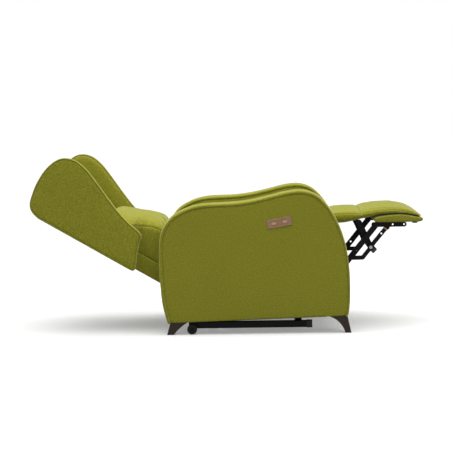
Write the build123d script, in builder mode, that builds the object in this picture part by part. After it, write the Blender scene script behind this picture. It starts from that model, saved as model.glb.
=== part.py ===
from build123d import *
import os
from math import atan2, cos, degrees, hypot, radians, sin

# A power recliner with winged back, drawn fully reclined with the footrest out.
# Millimetres. The front faces -Y, up is +Z, and the sitter's right is -X.
# The side outlines are drawn in a forward/up frame: (forward of the seat station, height).

os.makedirs("parts", exist_ok=True)

# ---- stations of the side outlines ----
front_shift = 160.2          # the seat station stands this far in front of the object's middle
back_angle = 30.2            # slope of the back above level when fully reclined
back_pivot = (-290.0, 285.0)  # hinge line of the back

# ---- widths, measured from the middle plane ----
arm_outer = 380.0            # outer face of the arm panels
arm_inner = 244.0            # inner face of the arm panels
arm_pad = 18.0               # upholstered panel on each face of an arm
plywood = 15.0               # plywood of the arm profiles
band_swell = 13.0            # the boxing band stands this far outside the panel seam
band_inset = 27.0            # depth of the foam band over the plywood
band_round = 12.0            # rounding of the band towards the panels
panel_round = 9.0            # rounding of the upholstered panels
seat_gap = 6.0               # seat cushion to arm
seat_half = arm_inner - seat_gap
back_gap = 13.0              # lower back to arm
lower_back_half = arm_inner - back_gap
upper_back_half = 303.0      # half the back between the wings
wing_gap = 2.0               # back to wing
wing_inner = upper_back_half + wing_gap
wing_thick = 40.0
wing_outer = wing_inner + wing_thick
wing_ply = 14.0              # plywood of a wing
fit_gap = 0.3                # space left around buried pieces

# ---- arm outline (the panel seam) ----
arm_rear_foot = (-418.0, 55.0)
arm_front_foot = (356.0, 78.0)
arm_rear = -450.0
arm_front = 370.0
arm_crest = 621.0
arm_shoulder = 563.0
arm_skirt = -80.0            # the outline runs down to here before the foot line cuts it

# ---- steel mechanism: layers of flat bar, from the side plate inwards ----
steel = 4.0
plate_gap = 4.0              # side plate to arm
plate_outer = arm_inner - plate_gap
bracket_gap = 7.0            # back bracket to side plate
frame_half = plate_outer - bracket_gap - 2 * steel  # outer faces of the back stiles
layer_pitch = 6.0
bar_half = 9.5
long_bar_half = 13.0
lever_half = 13.0
boss = 13.0
stud = 5.0
groove_depth = 2.5
running_gap = 0.06           # radial clearance of a stud in its hole
open_gap = 2.0               # radial clearance where the linkage loop is left open
torque_radius = 9.0

# ---- pivots of the footrest mechanism, footrest out ----
crank_pivot = (240.5, 248.6)
crank_end = (366.6, 294.3)
long_end = (503.0, 464.0)
dogleg_pivot = (307.7, 320.8)
dogleg_corner = (444.0, 322.0)
dogleg_end = (481.4, 368.1)
upper_end = (556.0, 458.0)
lever_angle = 114.5          # lean of the crossing lever above level
lever_top = 122.0            # from its rivet to its upper end
groove_start = 48.4          # travel of the long link's stud along the lever
groove_end = 104.4
cross_tube_place = (494.0, 355.5)
cross_tube_side = 26.0
long_link_hole = (417.0, 357.0)
upper_link_hole = (531.0, 428.0)
lightening = 4.0             # radius of the spare holes in the links

# ---- footrest ----
board_rear = 501.0
board_front = 712.0
board_bottom = 480.0
board_edge = 504.0
board_crown = 521.0
board_gap = 2.0              # board to pad edge
board_half = seat_half - board_gap
board_side_cover = 8.0       # cover over the board's two sides
board_end_cover = 12.0       # and over its two ends
board_floor = 6.0            # cover under the board
glide_inset = 46.0
glide_station = 684.0
glide_radius = 12.0
glide_height = 7.0
core_thick = 12.0
pad_split = 437.0            # crease between calf pad and foot pad
bracket_depth = 22.0
flange_width = 24.0
flange_middle = 570.0
flange_length = 130.0

# ---- seat ----
seat_rear = -335.0
seat_front = 300.0
seat_crown = 506.0
rail_bottom = 345.0
rail_top = 385.0
board_thick = 25.0
webbing_thick = 2.5
webbing_width = 58.0
webbing_pitch = 84.0
side_board_width = 32.0
seat_bottom = rail_top + webbing_thick

# ---- base ----
tube = 30.0                  # square tube of the base
tube_width = 25.0
tube_wall = 2.0
base_bottom = 25.0
rail_inset = 19.0            # base rail to the inside of the arm panel
base_rail_outer = arm_outer - arm_pad - rail_inset
base_rail_rear = -315.0
base_rail_front = 185.0
cap_length = 25.0
cap_lip = 1.5
cross_stations = (-250.0, 150.0)
foot_width = 44.0
foot_middle = arm_outer - arm_pad - foot_width / 2
wheel_radius = 22.0
wheel_place = (-325.0, 23.5)
wheel_width = 16.0
axle = 5.0

# ---- back, in its own frame: distance up the back from the hinge, and out of its rear face ----
rear_face = -150.0
panel_thick = 14.0
stile_front = -90.0
stile_width = 40.0
back_bottom = -20.0
back_shoulder = 318.0
back_top = 745.0
wing_top = 820.0
wing_round = 6.0
wing_core_inset = 6.0        # the plywood stops this far inside the wing's edge
lumbar_bottom = 223.0
tuck_bottom = 130.0          # the lumbar cushion tucks down behind the seat to here
apron_gap = 6.0
cushion_split = 470.0        # seam between lumbar and head cushion
back_rail_width = 45.0
waist_rail = 180.0
shoulder_rail = 360.0
head_rail = 560.0
top_rail_drop = 60.0
apron_thick = 18.0
drive_place = (-89.2, -64.4)
drive_radius = 12.0
hinge_radius = 8.0

# ---- drive ----
drive_height = 180.0
drive_throw = 9.5            # rise and fall of the drive tube over the stroke
yoke_wall = 8.0
yoke_gap = 1.3
rod_radius = 10.0
rod_reach = 225.0
sleeve_radius = 16.0
sleeve_rear = -150.0
gearbox_rear = 110.0
gearbox_front = 185.0
gearbox_bottom = 150.0
gearbox_top = 212.0
gearbox_half = 32.0
motor_radius = 27.0
motor_length = 103.0

# ---- button plate on the right arm ----
plate_place = (69.2, 496.5)
plate_tilt = 9.8
plate_size = (112.0, 40.0)
plate_thick = 2.5
recess_size = (75.0, 20.0)
button_size = (22.0, 12.0)
button_spread = 49.5
button_travel = 3.0


def side_plane(x):
    """Plane of the side outlines at width x: first axis forward, second axis up."""
    return Plane(origin=(x, -front_shift, 0), x_dir=(0, -1, 0), z_dir=(-1, 0, 0))


def back_plane(x):
    """Plane of the back's side outlines at width x: first axis up the back, second out of it."""
    rise = radians(back_angle)
    origin = (x, -front_shift - back_pivot[0], back_pivot[1])
    return Plane(origin=origin, x_dir=(0, cos(rise), sin(rise)), z_dir=(1, 0, 0))


def back_section(up):
    """Plane across the back at a distance up it: first axis across, second out of it."""
    rise = radians(back_angle)
    y = -front_shift - back_pivot[0] + up * cos(rise)
    z = back_pivot[1] + up * sin(rise)
    return Plane(origin=(0, y, z), x_dir=(1, 0, 0), z_dir=(0, -cos(rise), -sin(rise)))


def front_section(forward):
    """Upright plane across the chair at a forward station: first axis across, second up."""
    return Plane.XZ.offset(front_shift + forward)


def slab_plane(side, inner, outer):
    """Side plane from which a slab of one side, inner to outer, is extruded towards -X."""
    return side_plane(-inner if side == "right" else outer)


def back_face(out):
    """Plane along the back at a distance out of it: first axis across, second up the back."""
    rise = radians(back_angle)
    y = -front_shift - back_pivot[0] - out * sin(rise)
    z = back_pivot[1] + out * cos(rise)
    return Plane(origin=(0, y, z), x_dir=(1, 0, 0), z_dir=(0, -sin(rise), cos(rise)))


def back_point(up, out):
    """Side-plane place of a point given in the back's own frame."""
    rise = radians(back_angle)
    return (
        back_pivot[0] - up * cos(rise) + out * sin(rise),
        back_pivot[1] + up * sin(rise) + out * cos(rise),
    )


def layer(index):
    """Inner face of a steel layer: 0 is the side plate."""
    return plate_outer - steel - index * layer_pitch


def bar(start, end, half):
    """Round-ended flat bar between two pivots."""
    run = hypot(end[0] - start[0], end[1] - start[1])
    turn = degrees(atan2(end[1] - start[1], end[0] - start[0]))
    middle = ((start[0] + end[0]) / 2, (start[1] + end[1]) / 2)
    with Locations(middle):
        SlotCenterToCenter(run, 2 * half, rotation=turn)


def hole(place, radius):
    with Locations(place):
        Circle(radius, mode=Mode.SUBTRACT)


def disc(place, radius):
    with Locations(place):
        Circle(radius)


def cushion_section(plane, half, bottom, side, crown, draw=0.0):
    """Section of a cushion: flat underside, bulging sides and a crowned top."""
    with BuildSketch(plane) as section:
        with BuildLine():
            Line((-half + draw, bottom), (half - draw, bottom))
            ThreePointArc((half - draw, bottom), (half, (bottom + side) / 2), (half - draw, side))
            ThreePointArc((half - draw, side), (0, crown), (-half + draw, side))
            ThreePointArc((-half + draw, side), (-half, (bottom + side) / 2), (-half + draw, bottom))
        make_face()
    return section.sketch


def polar(place, angle, reach):
    return (place[0] + reach * cos(radians(angle)), place[1] + reach * sin(radians(angle)))


def moved_out(points, amount):
    """Outline points moved along the outline's own normals; it runs with the shape on its right."""
    moved = []
    for index, (x, y) in enumerate(points):
        before = points[max(index - 1, 0)]
        after = points[min(index + 1, len(points) - 1)]
        run = after[0] - before[0]
        rise = after[1] - before[1]
        length = hypot(run, rise)
        moved.append((x - amount * rise / length, y + amount * run / length))
    return moved


# =====================================================================
# arms
# =====================================================================

arm_outline = [
    arm_rear_foot,
    (arm_rear + 8, 160),
    (arm_rear, 300),
    (arm_rear + 3, 425),
    (arm_rear + 38, 505),
    (arm_rear + 105, arm_shoulder - 17),
    (-250, arm_shoulder + 4),
    (-125, arm_shoulder + 9),
    (0, 591),
    (90, arm_crest - 8),
    (155, arm_crest),
    (225, 603),
    (285, 545),
    (333, 452),
    (arm_front - 7, 335),
    (arm_front, 215),
    (arm_front - 5, 120),
    arm_front_foot,
]


def foot_line(forward):
    rise = (arm_front_foot[1] - arm_rear_foot[1]) / (arm_front_foot[0] - arm_rear_foot[0])
    return arm_rear_foot[1] + rise * (forward - arm_rear_foot[0])


def cut_foot_line():
    """Cut off what lies under the line on which the arm meets its feet."""
    with BuildLine() as under:
        Polyline(
            (arm_rear - 60, foot_line(arm_rear - 60)),
            (arm_front + 60, foot_line(arm_front + 60)),
            (arm_front + 60, arm_skirt - 60),
            (arm_rear - 60, arm_skirt - 60),
            close=True,
        )
    make_face(under.edges(), mode=Mode.SUBTRACT)


def arm_face(swell):
    """Arm profile in its side plane, swollen or shrunk evenly above the foot line."""
    points = moved_out(arm_outline, swell)
    rear, front = points[0], points[-1]
    with BuildLine() as outline:
        Spline(*points)
        Polyline(front, (front[0], arm_skirt), (rear[0], arm_skirt), rear)
    make_face(outline.edges())
    cut_foot_line()


ply_outer = arm_outer - arm_pad
ply_inner = arm_inner + arm_pad
switch_half = (41.0, 16.0)
rear_foot_bolt = -380.0
front_foot_bolt = 316.0
bolt_floor = {rear_foot_bolt: 38.0, front_foot_bolt: 62.0}
bolt_radius = 4.0
bolt_reach = 60.0
spacer_blocks = (
    ((rear_foot_bolt + 18, 95), (52, 90)),
    ((front_foot_bolt - 14, 115), (52, 90)),
    ((-30, 106), (520, 40)),
    ((-370, 440), (50, 50)),
    ((-60, 522), (420, 24)),
    ((270, 440), (50, 50)),
)


bolt_places = ((-200.0, 300.0), (0.0, 300.0), (120.0, 300.0))


def plate_frame():
    """Place and lean of the button plate in the arm's side plane."""
    return Location((*plate_place, 0), (0, 0, plate_tilt))


def foot_bolt_holes(side):
    """Upright holes for the two foot bolts of one arm."""
    middle = foot_middle if side == "left" else -foot_middle
    for forward in (rear_foot_bolt, front_foot_bolt):
        with BuildSketch(Plane.XY) as mouth:
            with Locations((middle, -front_shift - forward)):
                Circle(bolt_radius + fit_gap)
        extrude(mouth.sketch, amount=foot_line(forward) + bolt_reach + 2, mode=Mode.SUBTRACT)


for side in ("right", "left"):
    # plywood carcass: two profiles with solid spacer blocks between them
    with BuildPart() as arm_frame:
        for inner in (ply_inner, ply_outer - plywood):
            with BuildSketch(slab_plane(side, inner, inner + plywood)):
                arm_face(-band_inset - fit_gap)
                if inner == ply_inner:
                    for place in bolt_places:
                        hole(place, bolt_radius + fit_gap)
            extrude(amount=plywood)
        with BuildSketch(slab_plane(side, ply_inner + plywood, ply_outer - plywood)):
            for place, size in spacer_blocks:
                with Locations(place):
                    Rectangle(*size)
            cut_foot_line()
        extrude(amount=ply_outer - ply_inner - 2 * plywood)
        foot_bolt_holes(side)
        if side == "right":
            # opening for the switch box
            with BuildSketch(side_plane(-ply_outer + plywood)):
                with Locations(plate_frame()):
                    Rectangle(2 * switch_half[0] + 2, 2 * switch_half[1] + 2)
            extrude(amount=plywood, mode=Mode.SUBTRACT)
    arm_frame.part.label = f"arm_frame_{side}"
    export_step(arm_frame.part, f"parts/arm_frame_{side}.step")

    # upholstered panels, rounded over at their outer edge
    with BuildPart() as arm_outer_pad:
        with BuildSketch(slab_plane(side, ply_outer, arm_outer)):
            arm_face(0)
        extrude(amount=arm_pad)
        outside = arm_outer_pad.faces().sort_by(Axis.X)[0 if side == "right" else -1]
        fillet(outside.edges().filter_by(GeomType.LINE, reverse=True), panel_round)
        if side == "right":
            # opening for the switch box and the shallow seat of the button plate
            with BuildSketch(side_plane(-ply_outer)):
                with Locations(plate_frame()):
                    Rectangle(2 * switch_half[0] + 2, 2 * switch_half[1] + 2)
            extrude(amount=arm_pad, mode=Mode.SUBTRACT)
            with BuildSketch(side_plane(-arm_outer + plate_thick)):
                with Locations(plate_frame()):
                    Rectangle(plate_size[0] + 1, plate_size[1] + 1)
            extrude(amount=plate_thick, mode=Mode.SUBTRACT)
    arm_outer_pad.part.label = f"arm_outer_pad_{side}"
    export_step(arm_outer_pad.part, f"parts/arm_outer_pad_{side}.step")

    with BuildPart() as arm_inner_pad:
        with BuildSketch(slab_plane(side, arm_inner, ply_inner)):
            arm_face(0)
            for place in bolt_places:
                hole(place, bolt_radius + fit_gap)
        extrude(amount=arm_pad)
        inside = arm_inner_pad.faces().sort_by(Axis.X)[-1 if side == "right" else 0]
        fillet(inside.outer_wire().edges().filter_by(GeomType.LINE, reverse=True), panel_round)
    arm_inner_pad.part.label = f"arm_inner_pad_{side}"
    export_step(arm_inner_pad.part, f"parts/arm_inner_pad_{side}.step")

    # foam band round the arm's edge, open along the foot line
    with BuildPart() as arm_band:
        with BuildSketch(slab_plane(side, ply_inner, ply_outer)):
            arm_face(band_swell)
        extrude(amount=ply_outer - ply_inner)
        sides = arm_band.faces().filter_by(Axis.X)
        fillet(sides.edges().filter_by(GeomType.LINE, reverse=True), band_round)
        with BuildSketch(slab_plane(side, ply_inner, ply_outer)):
            arm_face(-band_inset)
        extrude(amount=ply_outer - ply_inner, mode=Mode.SUBTRACT)
    arm_band.part.label = f"arm_band_{side}"
    export_step(arm_band.part, f"parts/arm_band_{side}.step")

# =====================================================================
# button plate, switch box and the two buttons
# =====================================================================

plate_face = arm_outer + 0.5
box_face = plate_face - plate_thick
box_depth = 30.0
pocket_floor = box_face - 12.0
button_face = plate_face + 1.2
button_back = pocket_floor + button_travel + 1.0
button_places = ((-button_spread / 2, 0), (button_spread / 2, 0))


with BuildPart() as button_plate:
    with BuildSketch(side_plane(-box_face)):
        with Locations(plate_frame()):
            RectangleRounded(*plate_size, 3)
            SlotOverall(*recess_size, mode=Mode.SUBTRACT)
    extrude(amount=plate_thick)
    chamfer(button_plate.faces().sort_by(Axis.X)[0].outer_wire().edges(), 0.8)
button_plate.part.label = "button_plate"
export_step(button_plate.part, "parts/button_plate.step")

with BuildPart() as switch_box:
    with BuildSketch(side_plane(-box_face + box_depth)):
        with Locations(plate_frame()):
            Rectangle(2 * switch_half[0], 2 * switch_half[1])
    extrude(amount=box_depth)
    with BuildSketch(side_plane(-pocket_floor)):
        with Locations(plate_frame()):
            with Locations(*button_places):
                SlotOverall(button_size[0] + 2 * fit_gap, button_size[1] + 2 * fit_gap)
    extrude(amount=box_face - pocket_floor, mode=Mode.SUBTRACT)
switch_box.part.label = "switch_box"
export_step(switch_box.part, "parts/switch_box.step")

for name, place in (("button_recline", button_places[0]), ("button_raise", button_places[1])):
    with BuildPart() as button:
        with BuildSketch(side_plane(-button_back)):
            with Locations(plate_frame()):
                with Locations(place):
                    SlotOverall(*button_size)
        extrude(amount=button_face - button_back)
        fillet(button.faces().sort_by(Axis.X)[0].edges(), 0.8)
    button.part.label = name
    export_step(button.part, f"parts/{name}.step")

# =====================================================================
# feet and their bolts
# =====================================================================

rear_foot = ((-422.0, -437.0, -407.0, -342.0), (-384.0, 26.0))
front_foot = ((366.0, 383.0, 356.0, 280.0), (345.0, 27.0))

for name, (stations, hollow), bolt in (
    ("rear_feet", rear_foot, rear_foot_bolt),
    ("front_feet", front_foot, front_foot_bolt),
):
    top_back, toe_back, toe_front, top_front = stations
    with BuildPart() as feet:
        for middle in (-foot_middle, foot_middle):
            with BuildSketch(side_plane(middle + foot_width / 2)):
                with BuildLine():
                    Line((toe_back, 0), (toe_front, 0))
                    ThreePointArc((toe_front, 0), hollow, (top_front, foot_line(top_front)))
                    Line((top_front, foot_line(top_front)), (top_back, foot_line(top_back)))
                    Line((top_back, foot_line(top_back)), (toe_back, 0))
                make_face()
            extrude(amount=foot_width)
        fillet(feet.edges().filter_by(GeomType.LINE).filter_by_position(Axis.Z, 5, 50), 5)
        with BuildSketch(Plane.XY.offset(bolt_floor[bolt])):
            with Locations((-foot_middle, -front_shift - bolt), (foot_middle, -front_shift - bolt)):
                Circle(bolt_radius + fit_gap)
        extrude(amount=100, mode=Mode.SUBTRACT)
    feet.part.label = name
    export_step(feet.part, f"parts/{name}.step")

with BuildPart() as foot_bolts:
    for bolt in (rear_foot_bolt, front_foot_bolt):
        with BuildSketch(Plane.XY.offset(bolt_floor[bolt])):
            with Locations((-foot_middle, -front_shift - bolt), (foot_middle, -front_shift - bolt)):
                Circle(bolt_radius)
        extrude(amount=foot_line(bolt) + bolt_reach - bolt_floor[bolt])
foot_bolts.part.label = "foot_bolts"
export_step(foot_bolts.part, "parts/foot_bolts.step")

# =====================================================================
# base: two long rails, two cross tubes, end caps and the rear wheels
# =====================================================================

rail_middle = base_rail_outer - tube_width / 2
rail_height = base_bottom + tube / 2

with BuildPart() as base_rails:
    for middle in (-rail_middle, rail_middle):
        with BuildSketch(front_section(base_rail_rear)):
            with Locations((middle, rail_height)):
                RectangleRounded(tube_width, tube, 3)
                Rectangle(tube_width - 2 * tube_wall, tube - 2 * tube_wall, mode=Mode.SUBTRACT)
        extrude(amount=base_rail_front - base_rail_rear)
base_rails.part.label = "base_rails"
export_step(base_rails.part, "parts/base_rails.step")

with BuildPart() as cross_tubes:
    for forward in cross_stations:
        with BuildSketch(Plane.YZ.offset(-base_rail_outer + tube_width)):
            with Locations((-front_shift - forward, rail_height)):
                RectangleRounded(tube, tube, 3)
                Rectangle(tube - 2 * tube_wall, tube - 2 * tube_wall, mode=Mode.SUBTRACT)
        extrude(amount=2 * (base_rail_outer - tube_width))
cross_tubes.part.label = "cross_tubes"
export_step(cross_tubes.part, "parts/cross_tubes.step")

with BuildPart() as rail_caps:
    for middle in (-rail_middle, rail_middle):
        for forward in (base_rail_front, base_rail_rear - cap_length):
            with BuildSketch(front_section(forward)):
                with Locations((middle, rail_height)):
                    RectangleRounded(tube_width + 2 * cap_lip, tube + 2 * cap_lip, 3)
            extrude(amount=cap_length)
rail_caps.part.label = "rail_caps"
export_step(rail_caps.part, "parts/rail_caps.step")

bracket_face = base_rail_outer + cap_lip
wheel_inner = bracket_face + steel + 1.0
axle_end = wheel_inner + wheel_width + 1.0

with BuildPart() as wheel_brackets:
    for side in ("right", "left"):
        with BuildSketch(slab_plane(side, bracket_face, bracket_face + steel)):
            with Locations((wheel_place[0], rail_height)):
                RectangleRounded(30, tube, 4)
        extrude(amount=steel)
        with BuildSketch(slab_plane(side, bracket_face + steel, axle_end)):
            disc(wheel_place, axle)
        extrude(amount=axle_end - bracket_face - steel)
        with BuildSketch(slab_plane(side, axle_end, axle_end + 2.5)):
            disc(wheel_place, axle + 3)
        extrude(amount=2.5)
wheel_brackets.part.label = "wheel_brackets"
export_step(wheel_brackets.part, "parts/wheel_brackets.step")

for side in ("right", "left"):
    with BuildPart() as wheel:
        with BuildSketch(slab_plane(side, wheel_inner, wheel_inner + wheel_width)):
            disc(wheel_place, wheel_radius)
            hole(wheel_place, axle + running_gap)
        extrude(amount=wheel_width)
        rims = wheel.edges().filter_by(GeomType.CIRCLE).filter_by(lambda edge: edge.radius > axle + 1)
        fillet(rims, 3)
    wheel.part.label = f"wheel_{side}"
    export_step(wheel.part, f"parts/wheel_{side}.step")

# =====================================================================
# steel side plates, with the studs that the links turn on
# =====================================================================

plate_inner = plate_outer - steel
stud_crank_end = layer(2)
stud_dogleg_end = layer(1)
plate_rear = -318.0
plate_front = 330.0
plate_foot = base_bottom + tube

with BuildPart() as mechanism_plates:
    for side in ("right", "left"):
        with BuildSketch(slab_plane(side, plate_inner, plate_outer)):
            with BuildLine():
                Polyline(
                    (plate_rear, rail_bottom),
                    (plate_rear, back_pivot[1] - 30),
                    (cross_stations[0] - tube / 2, plate_foot),
                    (cross_stations[1] + tube / 2, plate_foot),
                    (plate_front, dogleg_pivot[1] - 30),
                    (plate_front, rail_bottom),
                    close=True,
                )
            make_face()
            hole(back_pivot, hinge_radius + running_gap)
            for place in bolt_places:
                hole(place, bolt_radius + fit_gap)
        extrude(amount=steel)
        for place, reach in ((crank_pivot, stud_crank_end), (dogleg_pivot, stud_dogleg_end)):
            with BuildSketch(slab_plane(side, reach, plate_inner)):
                disc(place, stud)
            extrude(amount=plate_inner - reach)
mechanism_plates.part.label = "mechanism_plates"
export_step(mechanism_plates.part, "parts/mechanism_plates.step")

# bolts that hold the side plates to the arm carcasses
with BuildPart() as arm_bolts:
    for side in ("right", "left"):
        for place in bolt_places:
            with BuildSketch(slab_plane(side, plate_inner - 3, plate_inner)):
                with Locations(place):
                    RegularPolygon(radius=7.5, side_count=6)
            extrude(amount=3)
            with BuildSketch(slab_plane(side, plate_inner, ply_inner + plywood)):
                disc(place, bolt_radius)
            extrude(amount=ply_inner + plywood - plate_inner)
arm_bolts.part.label = "arm_bolts"
export_step(arm_bolts.part, "parts/arm_bolts.step")

# =====================================================================
# footrest linkage: crank, long link, dog-leg, upper link and crossing lever, one of each a side
# =====================================================================

lever_stud = polar(dogleg_end, lever_angle, groove_start)


def link_layer(side, index):
    return slab_plane(side, layer(index), layer(index) + steel)


with BuildPart() as crank_links:
    for side in ("right", "left"):
        with BuildSketch(link_layer(side, 2)):
            bar(crank_pivot, crank_end, boss)
            hole(crank_pivot, stud + running_gap)
        extrude(amount=steel)
        # stud that carries the long link
        with BuildSketch(slab_plane(side, layer(3), layer(2))):
            disc(crank_end, stud)
        extrude(amount=layer(2) - layer(3))
crank_links.part.label = "crank_links"
export_step(crank_links.part, "parts/crank_links.step")

with BuildPart() as crank_tube:
    with BuildSketch(side_plane(layer(2))):
        disc(crank_pivot, torque_radius)
    extrude(amount=2 * layer(2))
crank_tube.part.label = "crank_tube"
export_step(crank_tube.part, "parts/crank_tube.step")

with BuildPart() as long_links:
    for side in ("right", "left"):
        with BuildSketch(link_layer(side, 3)):
            bar(crank_end, long_end, long_bar_half)
            hole(crank_end, stud + running_gap)
            hole(long_link_hole, lightening)
        extrude(amount=steel)
        # studs that carry the footrest bracket and guide the crossing lever
        with BuildSketch(slab_plane(side, layer(4), layer(3))):
            disc(long_end, stud)
        extrude(amount=layer(3) - layer(4))
        groove_floor = layer(6) + steel - groove_depth
        with BuildSketch(slab_plane(side, groove_floor + 0.4, layer(3))):
            disc(lever_stud, stud)
        extrude(amount=layer(3) - groove_floor - 0.4)
long_links.part.label = "long_links"
export_step(long_links.part, "parts/long_links.step")

with BuildPart() as dogleg_links:
    for side in ("right", "left"):
        with BuildSketch(link_layer(side, 1)):
            bar(dogleg_pivot, dogleg_corner, bar_half)
            bar(dogleg_corner, dogleg_end, bar_half)
            disc(dogleg_pivot, boss)
            disc(dogleg_end, boss)
            hole(dogleg_pivot, stud + running_gap)
            hole(dogleg_end, stud)
        extrude(amount=steel)
dogleg_links.part.label = "dogleg_links"
export_step(dogleg_links.part, "parts/dogleg_links.step")

# rivets through dog-leg, crossing lever and upper link
with BuildPart() as dogleg_rivets:
    for side in ("right", "left"):
        with BuildSketch(slab_plane(side, layer(6), layer(1) + steel)):
            disc(dogleg_end, stud)
        extrude(amount=layer(1) + steel - layer(6))
        with BuildSketch(slab_plane(side, layer(1) + steel, layer(1) + steel + 1.4)):
            disc(dogleg_end, stud + 2.5)
        extrude(amount=1.4)
dogleg_rivets.part.label = "dogleg_rivets"
export_step(dogleg_rivets.part, "parts/dogleg_rivets.step")

with BuildPart() as upper_links:
    for side in ("right", "left"):
        with BuildSketch(link_layer(side, 5)):
            bar(dogleg_end, upper_end, bar_half)
            disc(dogleg_end, boss)
            hole(dogleg_end, stud + running_gap)
            hole(upper_link_hole, lightening)
        extrude(amount=steel)
        # stud that stands in the footrest bracket's open hole
        with BuildSketch(slab_plane(side, layer(5) + steel, layer(4) + steel)):
            disc(upper_end, stud)
        extrude(amount=layer(4) - layer(5))
upper_links.part.label = "upper_links"
export_step(upper_links.part, "parts/upper_links.step")

with BuildPart() as cross_levers:
    for side in ("right", "left"):
        with BuildSketch(link_layer(side, 6)):
            bar(dogleg_end, polar(dogleg_end, lever_angle, lever_top), lever_half)
            bar(dogleg_end, cross_tube_place, lever_half)
            hole(dogleg_end, stud + running_gap)
        extrude(amount=steel)
        # blind groove for the long link's stud
        with BuildSketch(slab_plane(side, layer(6) + steel - groove_depth, layer(6) + steel)):
            bar(
                polar(dogleg_end, lever_angle, groove_start - 1),
                polar(dogleg_end, lever_angle, groove_end + 1),
                stud + 0.8,
            )
        extrude(amount=groove_depth, mode=Mode.SUBTRACT)
cross_levers.part.label = "cross_levers"
export_step(cross_levers.part, "parts/cross_levers.step")

with BuildPart() as cross_tube:
    with BuildSketch(side_plane(layer(6))):
        with Locations(Location((*cross_tube_place, 0), (0, 0, -45))):
            RectangleRounded(cross_tube_side, cross_tube_side, 3)
            Rectangle(
                cross_tube_side - 2 * tube_wall, cross_tube_side - 2 * tube_wall, mode=Mode.SUBTRACT
            )
    extrude(amount=2 * layer(6))
cross_tube.part.label = "cross_tube"
export_step(cross_tube.part, "parts/cross_tube.step")

# =====================================================================
# footrest: brackets, board, pads and glides
# =====================================================================

bracket_rear = 497.0
bracket_front = 645.0
bar_top = board_bottom
bar_middle = bar_top - bracket_depth / 2
bracket_tip = bracket_front - bracket_depth / 2
bracket_holes = ((582.0, bar_middle), (633.0, bar_middle))

with BuildPart() as footrest_brackets:
    for side in ("right", "left"):
        with BuildSketch(link_layer(side, 4)):
            bar((bracket_rear, bar_middle), (bracket_tip, bar_middle), bracket_depth / 2)
            disc(long_end, boss)
            disc(upper_end, boss)
            with Locations((flange_middle, bar_top - steel / 2)):
                Rectangle(flange_length, steel)
            hole(long_end, stud + running_gap)
            hole(upper_end, stud + open_gap)
            for place in bracket_holes:
                hole(place, lightening)
        extrude(amount=steel)
        # flange screwed up against the board
        with BuildSketch(slab_plane(side, layer(4) - flange_width, layer(4))):
            with Locations((flange_middle, bar_top - steel / 2)):
                Rectangle(flange_length, steel)
        extrude(amount=flange_width)
footrest_brackets.part.label = "footrest_brackets"
export_step(footrest_brackets.part, "parts/footrest_brackets.step")

board_core_bottom = board_bottom + board_floor
board_middle = (board_rear + board_front) / 2
board_run = board_front - board_rear - 2 * board_end_cover
core_half = board_half - board_side_cover

with BuildPart() as footrest_board:
    with BuildSketch(side_plane(core_half)):
        with Locations((board_middle, board_core_bottom + core_thick / 2)):
            Rectangle(board_run, core_thick)
    extrude(amount=2 * core_half)
footrest_board.part.label = "footrest_board"
export_step(footrest_board.part, "parts/footrest_board.step")

# padded cover wrapped all round the board
with BuildPart() as board_cover:
    with BuildSketch(side_plane(board_half)):
        with BuildLine():
            Line((board_rear + 6, board_bottom), (board_front - 8, board_bottom))
            ThreePointArc(
                (board_front - 8, board_bottom),
                (board_front + 2, board_bottom + 11),
                (board_front - 6, board_edge),
            )
            ThreePointArc(
                (board_front - 6, board_edge), (board_middle, board_crown), (board_rear + 4, board_edge)
            )
            ThreePointArc(
                (board_rear + 4, board_edge),
                (board_rear - 3, board_bottom + 12),
                (board_rear + 6, board_bottom),
            )
        make_face()
    extrude(amount=2 * board_half)
    with BuildSketch(side_plane(core_half + fit_gap)):
        with Locations((board_middle, board_core_bottom + core_thick / 2)):
            Rectangle(board_run + 2 * fit_gap, core_thick + 2 * fit_gap)
    extrude(amount=2 * (core_half + fit_gap), mode=Mode.SUBTRACT)
board_cover.part.label = "board_cover"
export_step(board_cover.part, "parts/board_cover.step")

glide_middle = board_half - glide_inset

with BuildPart() as footrest_glides:
    for middle in (-glide_middle, glide_middle):
        with BuildSketch(Plane.XY.offset(board_bottom - glide_height)):
            with Locations((middle, -front_shift - glide_station)):
                Circle(glide_radius)
        extrude(amount=glide_height, taper=-8)
footrest_glides.part.label = "footrest_glides"
export_step(footrest_glides.part, "parts/footrest_glides.step")

# sections of the pads: forward station, inset from the seat's half width, underside, side seam,
# crown, and how far the sides are drawn in at the seams
foot_pad_sections = (
    (pad_split + fit_gap, 6.0, 500.0, 520.0, 534.0, 4.0),
    (462.0, 1.0, 505.0, 533.0, 552.0, 5.0),
    (520.0, 0.0, 518.5, 543.0, 560.0, 6.0),
    (590.0, 0.0, 522.5, 545.0, 561.0, 6.0),
    (650.0, 1.0, 519.0, 533.0, 547.0, 6.0),
    (690.0, 2.5, 510.5, 521.0, 529.0, 5.0),
    (708.0, 5.0, 506.0, 513.0, 518.0, 4.0),
    (719.0, 9.0, 503.5, 507.0, 510.0, 3.0),
)
calf_pad_sections = (
    (305.0, 10.0, 480.0, 515.0, 528.0, 3.0),
    (325.0, 4.0, 479.0, 523.0, 539.0, 5.0),
    (366.0, 1.0, 484.0, 527.0, 544.0, 6.0),
    (410.0, 2.0, 494.0, 525.0, 541.0, 6.0),
    (pad_split - fit_gap, 6.0, 499.0, 518.0, 533.0, 4.0),
)

with BuildPart() as foot_pad:
    for forward, inset, bottom, edge, crown, draw in foot_pad_sections:
        add(cushion_section(front_section(forward), seat_half - inset, bottom, edge, crown, draw))
    loft()
foot_pad.part.label = "foot_pad"
export_step(foot_pad.part, "parts/foot_pad.step")

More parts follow.
